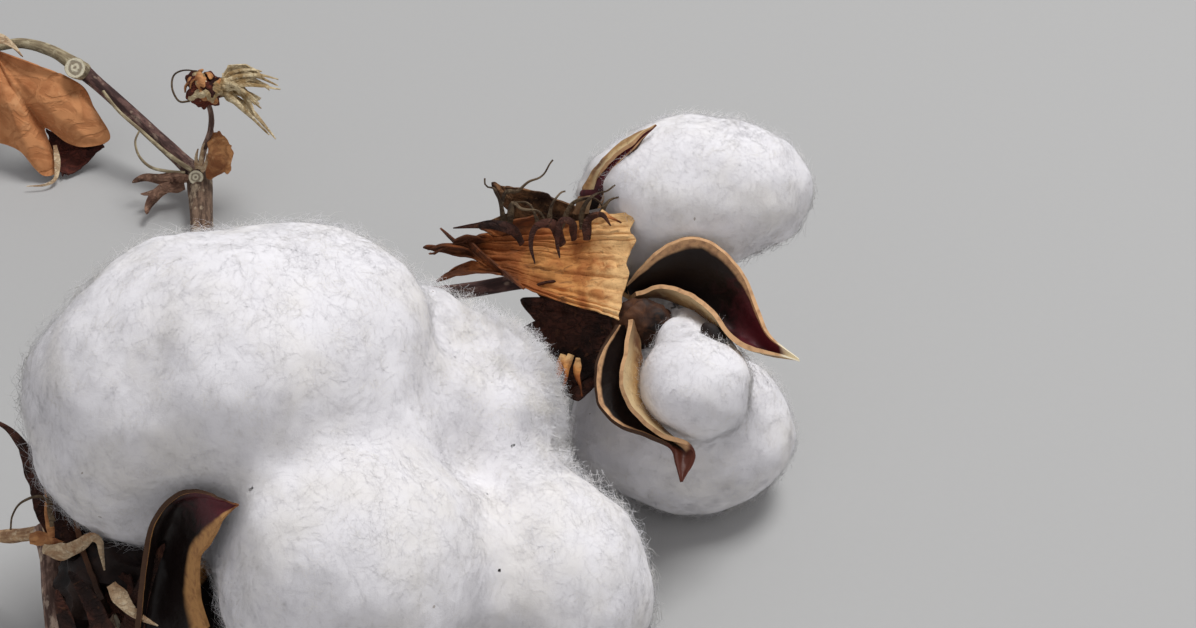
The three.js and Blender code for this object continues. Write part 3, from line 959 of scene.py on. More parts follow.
def size_prop(name, description, size):
    return bpy.props.FloatProperty(name=name, description=description, default=size * MM, unit="LENGTH", precision=6)


class CottonBranchSizes(bpy.types.PropertyGroup):
    bark_relief: size_prop("Bark relief", "Depth of the ridges of the bark", 0.12)
    cotton_lumps: size_prop("Cotton lumps", "Depth of the soft lumps of the cotton", 1.0)
    fibre_length: size_prop("Fibre length", "Usual length of a loose fibre", 6.0)
    fibre_half_width: size_prop("Fibre half width", "Half of a fibre's width", 0.02)
    fibre_density: bpy.props.FloatProperty(
        name="Fibre density", description="Share of the full number of fibres",
        default=1.0, min=0.05, max=1.5, subtype="FACTOR",
    )


def colour_prop(name, description, code):
    return bpy.props.FloatVectorProperty(
        name=name, description=description, default=paint(code), subtype="COLOR", size=3, min=0, max=1
    )


class CottonBranchColours(bpy.types.PropertyGroup):
    bark: colour_prop("Bark", "Main colour of the bark", "826a58")
    bark_dark: colour_prop("Bark hollows", "Colour between the ridges of the bark", "4d3b30")
    bark_pale: colour_prop("Bark pores", "Colour of the raised pores", "b7a48b")
    bur: colour_prop("Bur", "Outside of the burs", "b08857")
    # Partly painted shade: the near black deep in each bur's trough.
    bur_inside: colour_prop("Bur inside", "Inside of the burs, deep down", "150c0a")
    bur_rim: colour_prop("Bur rim", "Rims of the burs", "c4925c")
    bract: colour_prop("Bract", "The large dry bract", "cd8e50")
    leaf: colour_prop("Leaf", "Upper side of the dead leaf", "d0905f")
    cotton: colour_prop("Cotton", "Cotton in the light", "f4f2f5")
    cotton_warm: colour_prop("Warm cotton", "Cotton in its warmer patches", "f2eee9")
    cotton_shade: colour_prop("Cotton hollows", "Cotton between its clumps", "e4e1e5")
    floor: colour_prop("Floor", "The floor under the branch", "b9b9b8")


# Each stem's slot, its finish, its radius at both ends, the shares of its length with a knot, and the places along it.
STEMS = {
    "main_stem": ("bark", "bark", (3.3, 2.35), (0.1, 0.71, 0.98), (
        (-62, -97, 3.3), (-62, -82, 3.3), (-66, -45, 3.1), (-74, 0, 3.0), (-81, 40, 2.9), (-84, 64, 3.6),
        (-87.5, 84.5, 5.2),
    )),
    "side_stem": ("bark", "purple_bark", (1.75, 1.5), (0.0, 1.0), (
        (-88, 84, 5.5), (-98, 91, 11.5), (-107, 98, 16), (-114.5, 103.2, 20),
    )),
    "right_branch": ("bark", "purple_bark", (1.9, 1.3), (0.02, 0.6), (
        (-79, 36, 4.5), (-66, 31, 14), (-48, 19, 26), (-28.4, 6.5, 35.3), (-12, 3.2, 41), (-5, 2.4, 41.6),
    )),
    "left_branch": ("bark", "pink_bark", (2.3, 1.9), (0.02, 0.55, 1.0), (
        (-63, -80, 5), (-73, -79, 9.5), (-84.1, -65.7, 18.3), (-86.1, -58.9, 19.5), (-87.9, -52.6, 20.8),
        (-89.4, -46.4, 21.9), (-91.2, -40.4, 23.6),
    )),
    "left_twig": ("stalk", "tan_stalk", (1.3, 0.8), (0.0, 0.45), (
        (-88.9, -42.5, 25.8), (-94.6, -38.9, 20.7), (-101.7, -34.3, 15.3), (-109.7, -29.0, 10.8), (-113.5, -32, 10.5),
    )),
    "left_stalk": ("stalk", "stalk", (1.6, 1.7), (), ((-87, -60.5, 20), (-83.5, -65, 19.5), (-79.5, -67.5, 19.8))),
    "bud_stalk": ("stalk", "pink_bark", (0.7, 0.55), (0.0,), (
        (-87.1, 83.8, 6.8), (-85.4, 83.4, 12.5), (-83.0, 81.6, 18.6), (-82.2, 81.2, 23.0), (-82.8, 82.2, 26.5),
    )),
    "leaf_stalk": ("stalk", "pale_stalk", (1.5, 1.0), (0.0,), (
        (-115.5, 104, 20.5), (-121.5, 106.2, 23.2), (-128, 106.8, 24.8), (-133, 106, 24.4),
    )),
    "right_boll_base": ("stalk", "stalk", (2.1, 5.2), (), ((-4.6, 2.4, 41.6), (-1.5, 2.1, 41.4), (1.6, 1.8, 41.2))),
    "left_boll_base": ("stalk", "stalk", (2.4, 6.0), (), (
        (-79.2, -67.3, 19.8), (-76.2, -65.9, 20.9), (-73, -64.4, 22),
    )),
    "cut_stub": ("cut_wood", "pale_stalk", (2.1, 2.35), (), (
        (-114.4, 103.4, 19.6), (-114.7, 101.6, 21.2), (-114.9, 99.9, 22.8),
    )),
}

# Each valve's far rim, keel and near rim, the tan share of its width at each rim, and where its lining turns red.
VALVES = {
    "right_valve_front": ((
        (5.2, 1.2, 42.0), (8.7, 1.4, 46.7), (12.0, 2.1, 49.6), (17.2, 2.6, 50.8), (21.5, 1.0, 49.3),
        (25.4, -2.1, 45.7), (27.6, -6.6, 42.0), (29.4, -10.6, 40.2), (34.4, -14.1, 37.8),
    ), (
        (5.6, 0.2, 39.8), (10, 1.6, 39.2), (16, 1.0, 38.0), (21.5, -2.8, 37.0), (26.5, -8.4, 36.8),
        (30.5, -12.0, 37.0), (34.4, -14.2, 37.6),
    ), (
        (6.6, -0.8, 41.6), (11.0, -0.8, 43.5), (15.7, -3.7, 44.5), (19.7, -7.7, 44.0), (21.9, -10.9, 42.5),
        (24.5, -13.1, 41.0), (28.3, -13.8, 39.8), (31.1, -14.1, 39.0), (34.5, -14.4, 37.6),
    ), (0.13, 0.05), 0.45),
    "right_valve_upper": ((
        (-1.4, 10.6, 50.4), (-0.3, 13.1, 55.3), (1.4, 13.3, 58.2), (3.3, 13.9, 60.4), (5.8, 14.6, 62.3),
        (8.2, 16.1, 63.6), (10.2, 18.0, 64.1),
    ), (
        (-4.1, 11.0, 50.0), (-2.9, 12.2, 53.3), (-1.5, 14.0, 55.3), (0.1, 15.2, 57.1), (2.3, 15.6, 59.6),
        (4.6, 16.3, 61.5), (7.3, 16.7, 63.1), (10.0, 18.1, 64.0),
    ), (
        (0.4, 11.4, 51.0), (1.7, 12.9, 55.2), (2.9, 13.5, 57.6), (4.8, 14.2, 59.7), (7.0, 15.2, 61.5),
        (8.9, 16.8, 62.9), (10.3, 18.3, 63.8),
    ), (0.04, 0.1), 0.0),
    "right_valve_lower": ((
        (5.4, -7.4, 41.0), (4.4, -13.5, 39.6), (3.4, -18.8, 37.2), (4.6, -21.6, 34.6), (7.4, -24.2, 32.4),
        (10.6, -25.6, 30.6), (15.0, -26.0, 29.2), (16.2, -27.2, 27.8), (14.2, -31.4, 25.6),
    ), (
        (6.5, -5, 37.5), (7.0, -10, 34.6), (7.4, -15.5, 31.6), (8.8, -19.6, 29.6), (12.0, -23.2, 28.2),
        (14.6, -26.0, 27.0), (14.2, -31.2, 25.3),
    ), (
        (3.4, -7.5, 40.0), (0.6, -12.6, 38.2), (-0.6, -17.2, 35.0), (0.3, -20.4, 32.5), (3.9, -23.2, 30.5),
        (8.8, -24.4, 29.2), (12.6, -26.2, 28.4), (13.2, -28.2, 27.0), (13.9, -31.5, 25.5),
    ), (0.04, 0.42), 0.8),
    "left_valve_top": ((
        (-70.0, -68.8, 28.5), (-69.2, -65.2, 34.3), (-68.5, -62.1, 39.4), (-67.2, -60.2, 44.2),
        (-64.7, -59.4, 47.8), (-61.7, -59.6, 50.5), (-58.0, -61.2, 52.3), (-53.6, -64.3, 53.6),
    ), (
        (-69.1, -64.8, 26.0), (-68.2, -60.9, 31.0), (-66.6, -58.3, 36.7), (-64.3, -57.7, 42.3),
        (-61.5, -58.7, 47.3), (-57.5, -61.6, 51.0), (-52.8, -64.2, 53.3),
    ), (
        (-59.9, -67.2, 29.5), (-61.1, -65.4, 33.9), (-60.9, -64.6, 38.6), (-60.5, -63.8, 41.8),
        (-58.6, -64.5, 45.0), (-56.7, -64.8, 48.4), (-55.2, -64.8, 51.2), (-53.4, -64.5, 53.1),
    ), (0.14, 0.03), 0.6),
    "right_valve_back": (*trough((
        (3.5, 5.5, 37.5), (10, 20, 30), (18, 31, 24), (27, 36, 24),
    ), (-0.4, 0.5, -0.75), 7, 4), (0.12, 0.12), 0.5),
    "left_valve_side": (*trough((
        (-77, -60, 25), (-82, -49, 26.5), (-84, -36, 29), (-81, -22, 34),
    ), (-0.85, -0.1, -0.5), 7, 4), (0.03, 0.03), 0.8),
    "left_valve_under": (*trough((
        (-71, -60, 18), (-61, -46, 12.5), (-55, -30, 10.5), (-49, -14, 15),
    ), (-0.35, 0.2, -0.9), 7, 3.5), (0.12, 0.12), 0.5),
    "left_valve_front": (*trough((
        (-71, -68, 19.5), (-57, -79, 14.5), (-42, -83.5, 15), (-29, -84, 21),
    ), (-0.25, -0.75, -0.6), 7.5, 4), (0.12, 0.12), 0.5),
}

# For valves whose point isn't plain: the share of its length where that begins, and its colour.
SPINES = {"right_valve_front": (0.88, "eee2c6"), "right_valve_lower": (0.78, "54291d")}
PLAIN_SPINE = (0.95, "80502f")

# How the near black oval of painted shadow in the gap beside the front valve of the small bur is turned.
GAP_AXES = ((0.63, -0.495, -0.59), (0.77, 0.405, 0.483), (0, -0.766, 0.643))

# Each bract's finish, foot, tip and side, and the shape of its fan.
BRACTS = {
    "right_bract_front": (
        "bract", (5.2, -0.8, 47.6), (-31, 4, 49.5), (0.16, -0.84, -0.5),
        dict(foot_half=10, spread=-13, notch=0.7, teeth=8, cup=3, curl=0.02, crumple=2.4, torn=1.6, bunch=1.8, seed=21),
    ),
    "right_bract_low": (
        "dark_bract", (2.5, -8, 38.5), (-13.6, -7.9, 34.4), (0.15, -0.6, -0.75),
        dict(foot_half=5.5, spread=32, notch=0.78, teeth=6, cup=3, curl=0.08, crumple=2.0, torn=1.0, bunch=0.6),
    ),
    "right_bract_back": (
        "brown_bract", (0, 10.5, 43.5), (-22.7, 10.5, 48.5), (0.3, 0.3, 0.9),
        dict(foot_half=5, spread=10, notch=0.6, teeth=5, cup=-3, curl=0.05, crumple=1.6, bunch=0.9),
    ),
    "left_bract_side": (
        "dark_bract", (-84.9, -49.8, 26.6), (-97, -31.5, 42), (0.6, 0.6, -0.5),
        dict(foot_half=2.5, spread=6, teeth=2, curl=0.05),
    ),
    "left_bract_front": (
        "dark_bract", (-75, -71.5, 23), (-80.5, -60, 38.5), (0.9, 0.1, 0.2),
        dict(foot_half=5, spread=22, teeth=3, notch=0.3, cup=-3, curl=0.08),
    ),
    "left_bract_under": (
        "dark_bract", (-78, -66, 15.5), (-96, -78, 4), (0.5, -0.8, 0),
        dict(foot_half=5, spread=30, notch=0.4, teeth=4, cup=-2),
    ),
    "bud_bract": (
        "straw", (-79, 83.5, 31.5), (-70.5, 82.5, 26.5), (0, 0.5, 0.85),
        dict(foot_half=2.5, spread=30, teeth=4, crumple=0.5),
    ),
}

# Curled teeth and torn shreds: how they look, and for each its width and the places along it.
TEETH = {
    "right_grey_teeth": (
        "grey_tooth",
        (0.9, ((-16.1, 3.6, 52.3), (-16.8, 4.0, 57.9), (-17.6, 4.7, 60.2), (-19.0, 5.0, 60.6), (-19.2, 5.8, 61.5))),
        (0.9, (
            (-16.6, 4.2, 57.1), (-15.8, 5.0, 59.1), (-13.8, 5.9, 58.6), (-11.9, 7.9, 59.4), (-10.2, 8.4, 60.0),
            (-7.8, 11.0, 61.6),
        )),
        (1.4, ((-15.4, 3.2, 52.5), (-14.4, 3.2, 58.0), (-13.2, 2.5, 57.6), (-10.1, 2.9, 56.6), (-8.9, 2.5, 54.6))),
        (1.3, ((-8.5, 3.8, 52.5), (-7.8, 5.3, 56.3), (-6.4, 7.2, 57.1), (-5.7, 8.1, 56.6))),
        (1.2, ((0.3, 7.4, 50.6), (1.0, 7.4, 54.1), (1.9, 8.3, 55.2), (4.0, 9.5, 55.1))),
        (1.2, ((-6.5, 5.8, 50.5), (-4.4, 7.6, 54.8), (-1.9, 8.0, 55.4), (0.3, 8.6, 54.0), (1.6, 8.4, 52.0))),
        (1.0, ((-3.0, 5.8, 50.5), (-2.6, 6.8, 54.2), (-0.6, 7.6, 56.6), (1.6, 8.8, 56.6), (3.0, 9.6, 57.2))),
        (1.0, ((-10.0, 4.0, 52.0), (-10.8, 4.6, 55.0), (-12.4, 5.4, 56.8), (-14.6, 6.0, 56.4))),
    ),
    "right_dark_teeth": (
        "dark_bract",
        (2.2, ((-6.0, 2.0, 50.0), (-8.0, 1.4, 55.0), (-10.6, 0.6, 55.0), (-11.6, -0.8, 52.0), (-11.0, -2.0, 49.0))),
        (2.0, ((-4.0, 2.6, 50.4), (-4.6, 2.4, 54.6), (-6.2, 1.8, 55.4), (-7.0, 0.4, 52.4), (-6.6, -1.0, 49.4))),
        (2.2, ((-13.0, 1.6, 50.4), (-14.6, 1.4, 53.6), (-17.6, 1.6, 54.6), (-21.0, 2.2, 54.0), (-25.0, 3.4, 52.6))),
        (2.0, ((-2.0, 3.4, 50.0), (-1.4, 4.4, 53.8), (0.6, 4.6, 54.6), (2.2, 4.0, 52.6))),
    ),
    "right_tan_teeth": (
        "bract",
        (1.2, ((0.5, 5.3, 54.8), (1.9, 4.8, 54.1), (4.0, 4.7, 52.5))),
        (1.6, ((-6.0, -9.7, 35.0), (-6.6, -11.2, 33.6), (-7.3, -13.2, 32.7), (-8.1, -14.4, 31.3), (-8.5, -14.4, 29.7))),
        (1.8, ((-4.6, -9.7, 35.0), (-5.2, -11.2, 33.6), (-5.5, -13.5, 32.4), (-6.1, -14.8, 30.8), (-5.6, -14.8, 29.2))),
        (1.6, ((-3.4, -9.9, 34.4), (-3.6, -12.0, 32.8), (-3.0, -14.0, 31.8), (-2.6, -15.4, 30.4))),
    ),
    "left_pale_rims": (
        "pale_rim",
        (3.0, (
            (-87.8, -52.8, 31.8), (-84.5, -54.0, 32.4), (-81.2, -54.3, 34.3), (-79.1, -54.2, 36.0),
            (-77.8, -54.9, 35.8), (-77.4, -56.3, 34.4), (-77.0, -57.9, 32.4),
        )),
        (2.6, (
            (-75.0, -62.0, 33.7), (-73.6, -63.3, 32.2), (-71.5, -65.1, 30.8), (-69.3, -66.2, 30.2),
            (-67.5, -66.8, 29.6),
        )),
    ),
    "left_thin_teeth": (
        "grey_tooth",
        (1.0, ((-86.0, -51.4, 35.4), (-86.7, -47.7, 39.8), (-86.8, -45.4, 42.6), (-86.3, -42.9, 45.5))),
        (0.6, (
            (-85.6, -51.0, 36.2), (-86.8, -49.2, 39.3), (-88.1, -49.1, 39.7), (-90.5, -49.8, 38.9),
            (-92.0, -51.0, 37.4), (-92.3, -52.4, 35.7),
        )),
    ),
    "left_orange_teeth": (
        "orange_leaf",
        (1.6, ((-86.3, -51.8, 33.4), (-86.9, -49.6, 36.0), (-87.4, -47.6, 38.4), (-87.8, -45.8, 40.6))),
        (3.0, ((-90.4, -50.4, 31.6), (-88.0, -50.6, 31.8), (-86.0, -51.4, 32.0), (-84.6, -51.8, 32.4))),
    ),
    "left_dark_strip": (
        "dark_bract",
        (4.4, (
            (-82.4, -50.4, 31.0), (-85.2, -46.6, 34.1), (-88.4, -42.6, 37.0), (-92.0, -38.8, 39.7),
            (-95.3, -35.8, 41.8), (-98.4, -34.4, 43.0),
        )),
        (5.0, ((-83.4, -52.4, 30.6), (-84.4, -49.6, 33.4), (-85.0, -46.4, 36.2), (-85.6, -43.4, 38.6))),
    ),
}

# For each lock, its centre and how far it reaches from there.
BOLLS = {
    "left": {
        "left_lock_top": ((-57, -35.8, 50.8), (31, 24.5, 24)),
        "left_lock_front": ((-38.5, -59.5, 34.8), (21.3, 21, 22)),
        "left_lock_right": ((-7.5, -50, 20), (16.5, 18, 20.5)),
        "left_lock_behind": ((-24, -23.5, 33.5), (17.5, 16.5, 16)),
        "left_lock_under": ((-47, -38, 16), (19, 18.5, 16.3)),
    },
    "right": {
        "right_lock_top": ((19.2, 18, 50), (17.8, 14.5, 13.6)),
        "right_lock_middle": ((17.0, -16.6, 31.7), (9.6, 9.2, 9.6)),
        "right_lock_low": ((15.6, -7, 14.8), (21, 14.5, 15.5)),
        "right_lock_back": ((9.5, 19.5, 21), (15.5, 14.5, 21.5)),
    },
}

# Places where the cotton is fuller, with their radii.
PUFFS = {
    "left": (
        ((-33, -33, 44), (15, 12, 12)),
        ((-18, -38, 28), (13, 12, 12)),
        ((-30.8, -17.1, 43.6), (10, 10, 10)),
        ((-20.4, -28.9, 37.3), (13.5, 12, 12)),
        ((-31.8, -48.2, 48.6), (7, 7, 7)),
        ((-15.2, -37.1, 33.8), (9, 9, 9)),
    ),
    "right": (
        ((15.0, -7.5, 36.4), (5.5, 4, 5)),
        ((16.3, -0.6, 33.7), (7, 4, 5)),
        ((18.1, -9.4, 35.7), (6, 4.5, 5)),
        ((7.5, 11.2, 41.6), (5, 5, 5)),
        ((-1.7, 17.6, 49.6), (2.6, 2.6, 3)),
        ((31.8, 18.1, 49.8), (7.6, 7.2, 7.6)),
        ((31.2, 14.9, 46.0), (6, 6, 6)),
    ),
}

# A hollow in the cotton behind a valve: its middle, which way it goes, how wide and how deep.
HOLLOWS = {"left": ((-64.1, -60.7, 46.1), (0.0, 0.77, -0.64), 11, 7.5), "right": None}

# How far the valleys between locks are rounded, in millimetres.
SOFTNESS = {"left": 4.5, "right": 3.0}

# How many fibres the layers of each boll have, and its loose wisps.
FUZZ = {"left": (9000, 9000, 9000), "right": (9000, 9000)}
WISPS = 4000

# Each lamp's name, way from the branch, distance in metres, size in metres and power in watts.
LIGHTS = (("key", (0.3, 0.22, 0.93), 1.1, 0.4, 8.0), ("fill", (-0.5, -0.8, 0.45), 1.3, 1.2, 1.3))
LIT_PLACE = (-20, -30, 30)
LENS, SENSOR = 60, 36
CAMERA_PLACE = (0, -270.41, 262.90)
CAMERA_TILT = math.radians(50)


class Piecework:
    """What the operators share: each makes its pieces and says that it's done."""

    bl_options = {"REGISTER", "UNDO"}

    def execute(self, context):
        self.make(context)
        return {"FINISHED"}


class COTTON_OT_stems(Piecework, bpy.types.Operator):
    """Makes the stems, branches and stalks with their bark, and the cut ends"""

    bl_idname = "cotton.stems"
    bl_label = "Stems"

    def make(self, context):
        relief = sizes().bark_relief / MM
        for seed, (name, (slot, kind, (start, end), knots, places)) in enumerate(STEMS.items()):
            sides, step, share = (20, 0.5, 0.6) if min(start, end) < THIN_STEM else (30, 0.7, 1)
            piece = limb(name, places, start, end, knots, sides=sides, step=step, relief=relief * share, seed=seed)
            settle(dress(piece, look(kind), look("cut_wood")), (name,), angle=40)
            pith = read(piece.data.attributes["pith"].data, "value", 1)
            for face in piece.data.polygons:
                face.material_index = int(min(pith[v] for v in face.vertices) < CUT_SHARE)
        self.small_stalks()

    def small_stalks(self):
        """The thin stalk beside the side stem, and the scar of a branch at the fork."""
        route = ((-88.5, 82.5, 7.5), (-94.7, 86.4, 9.8), (-100.2, 89.5, 13.5), (-105.2, 93.1, 16.1), (-109, 97.4, 18.3))
        stalk = limb("thin_stalk", route, 0.5, 0.35, sides=10, step=0.6, relief=0.04)
        route = ((-87.3, 81.4, 6.0), (-87.2, 80.2, 7.2), (-87.1, 79.3, 8.1))
        scar = limb("scar", route, 1.7, 1.55, sides=20, step=0.5, relief=0.06)
        for piece, slot in ((stalk, "stalk"), (scar, "cut_wood")):
            settle(dress(piece, look("pale_stalk"), look("cut_wood")), angle=40)
        for face in scar.data.polygons:
            face.material_index = int(face.normal.y < -0.5)


class COTTON_OT_burs(Piecework, bpy.types.Operator):
    """Makes the valves of the two split burs"""

    bl_idname = "cotton.burs"
    bl_label = "Burs"

    def make(self, context):
        for seed, (name, (far, keel, near, tan, wine)) in enumerate(VALVES.items()):
            settle(valve(name, far, keel, near, tan, wine, seed), (name,), angle=50)
        self.hearts()

    def hearts(self):
        """The dark woody middle of the small bur, a near black lump of painted shade under the big boll, and a near
        black oval that is the painted shadow in the gap beside the front valve of the small bur.
        """
        for name, kind, middle, radii, axes, lumps, crumbs, torn in (
            ("right_bur_heart", "bur_heart", (7.6, -4.2, 37.2), (5.4, 3.8, 4.6), np.eye(3), 0.18, 0.07, 0),
            # Painted shadow: a near black oval where the gap beside the front valve lies in shade.
            ("right_bur_hollow", "bur_hollow", (19.9, -11.1, 40.2), (2.9, 1.7, 1.1), np.array(GAP_AXES), 0.05, 0, 0),
            # Painted shade: a near black ragged lump that fills the shadow under the big boll.
            ("left_bur_heart", "bur_hollow", (-76.5, -52.8, 21.5), (9.5, 6.5, 9.5), np.eye(3), 0.18, 0.07, 0.3),
        ):
            piece = ball(name, 5)
            places = points(piece)
            lumpy = 1 + lumps * rough(places, 0.5, 4) + crumbs * rough(places, 0.2, 5)
            lumpy = lumpy * (1 + torn * (0.4 - np.abs(rough(places, 0.35, 8))))
            put_points(piece, lying(middle) + (places * lumpy[:, None] * np.array(radii) * MM) @ axes)
            settle(dress(piece, look(kind)), angle=50)


class COTTON_OT_bracts(Piecework, bpy.types.Operator):
    """Makes the toothed bracts and their loose curling teeth"""

    bl_idname = "cotton.bracts"
    bl_label = "Bracts"

    def make(self, context):
        for seed, (name, (kind, foot, tip, side, shape)) in enumerate(BRACTS.items()):
            piece = bract(name, look(kind), foot, tip, side, **{"seed": seed, **shape})
            settle(piece, (name,))
        corners = ((-84.8, 78.7, 8.4), (-79.4, 78.7, 10.0), (-78.6, 81.6, 15.0), (-83.3, 83.3, 18.6))
        settle(plate("stem_bract", corners, look("orange_leaf"), 2.2, 3), ("stem_bract",))
        self.loose_teeth()

    def loose_teeth(self):
        """Curled teeth and torn shreds."""
        for name, (kind, *teeth) in TEETH.items():
            pieces = []
            for i, (width, route) in enumerate(teeth):
                twist = (0.3 if width < 2 else 0.04) * (-1) ** i
                pieces.append(strip("tooth", route, width, (0.3, -0.7, 0.6), look(kind), twist, i, 0.4))
            settle(join(pieces, name))
        blades = (
            (((-88.6, -43.8, 24.3), (-79.5, -49.0, 32.1), (-74.4, -63.6, 22.5), (-85.3, -58.8, 14.1)), 1.5, 2),
            (((-78.6, -54.0, 29.6), (-73.4, -57.4, 30.2), (-69.4, -66.4, 22.4), (-76.8, -65.2, 20.8)), 1.2, 5),
        )
        # The blades are dry calyx in shadow: their own brown with painted shade.
        settle(plates("left_dark_blades", look("dark_bract"), *blades))


class COTTON_OT_leaf(Piecework, bpy.types.Operator):
    """Makes the dead leaf"""

    bl_idname = "cotton.leaf"
    bl_label = "Leaf"

    def make(self, context):
        foot = np.array((-134, 105.5, 24.0))
        rim = Path((
            (-118.1, 100.6, 20.5), (-114.1, 100.7, 17.0), (-112.2, 99.1, 13.0), (-108.9, 95.3, 7.0),
            (-113.8, 92.9, 6.5), (-118.2, 94.5, 6.5), (-123.3, 96.7, 9.0), (-121.9, 93.9, 5.0),
            (-120.6, 90.2, 1.6), (-123.1, 88.5, 1.8), (-128.1, 91.7, 6.0), (-133.1, 93.8, 7.0),
            (-140.3, 95.6, 6.5), (-147.6, 99.3, 8.0), (-148.8, 102.9, 15.0),
        ))
        belly = np.array((0.5, -4.5, 3.5))

        def shape(piece, s, t):
            end = rim.at(s)
            place = foot + (end - foot) * (0.03 + 0.97 * t)[:, None]
            veins = np.abs((s * 5) % 1 - 0.5) * 2
            droop = 0.8 * np.sin(math.pi * t) * (1 - 0.3 * t)
            pucker = 0.16 * (veins - 0.5) * t + 0.2 * rough(place, 6, 3) * t
            pucker = pucker + 0.16 * (0.4 - np.abs(rough(place, 3.5, 5))) * t
            place = place + belly * ((droop + pucker) * ease(0, 0.06, 1 - t))[:, None]
            place[:, 2] = np.maximum(place[:, 2], 0.9)
            return lying(place)

        under = look("leaf_under")
        piece = dress(grid("dead_leaf", 170, 48, shape), look("leaf_top"), under)
        apply(piece, "SOLIDIFY", thickness=0.3 * MM, offset=0, material_offset=1)
        settle(piece, ("dead_leaf",))
        folds = (
            (((-123.6, 98.4, 7.6), (-109.3, 96.4, 6.2), (-111.5, 96.0, 3.6), (-121.6, 93.0, 2.0)), 1.0, 2),
            (((-121.6, 94.0, 4.0), (-111.5, 96.2, 4.2), (-115.6, 91.4, 1.4), (-119.6, 89.2, 1.2)), 0.8, 3),
            (((-129.5, 94.4, 5.6), (-122.2, 93.6, 4.6), (-121.6, 89.6, 1.8), (-123.8, 89.6, 2.4)), 0.6, 4),
        )
        settle(plates("leaf_folds", under, *folds))
        edges = (
            (1.6, (
                (-120.8, 93.4, 6.6), (-120.1, 90.4, 4.0), (-120.4, 87.6, 1.7), (-122.2, 86.0, 1.3),
                (-126.3, 85.2, 1.4),
            )),
            (2.6, ((-134.0, 104.0, 27.6), (-131.4, 104.4, 27.4), (-129.0, 103.6, 26.4), (-126.4, 101.8, 24.6))),
        )
        pieces = [
            strip("edge", route, width, (0.2, -0.7, 0.65), look("pale_rim"), 0.1, i)
            for i, (width, route) in enumerate(edges)
        ]
        settle(join(pieces, "leaf_edges"))


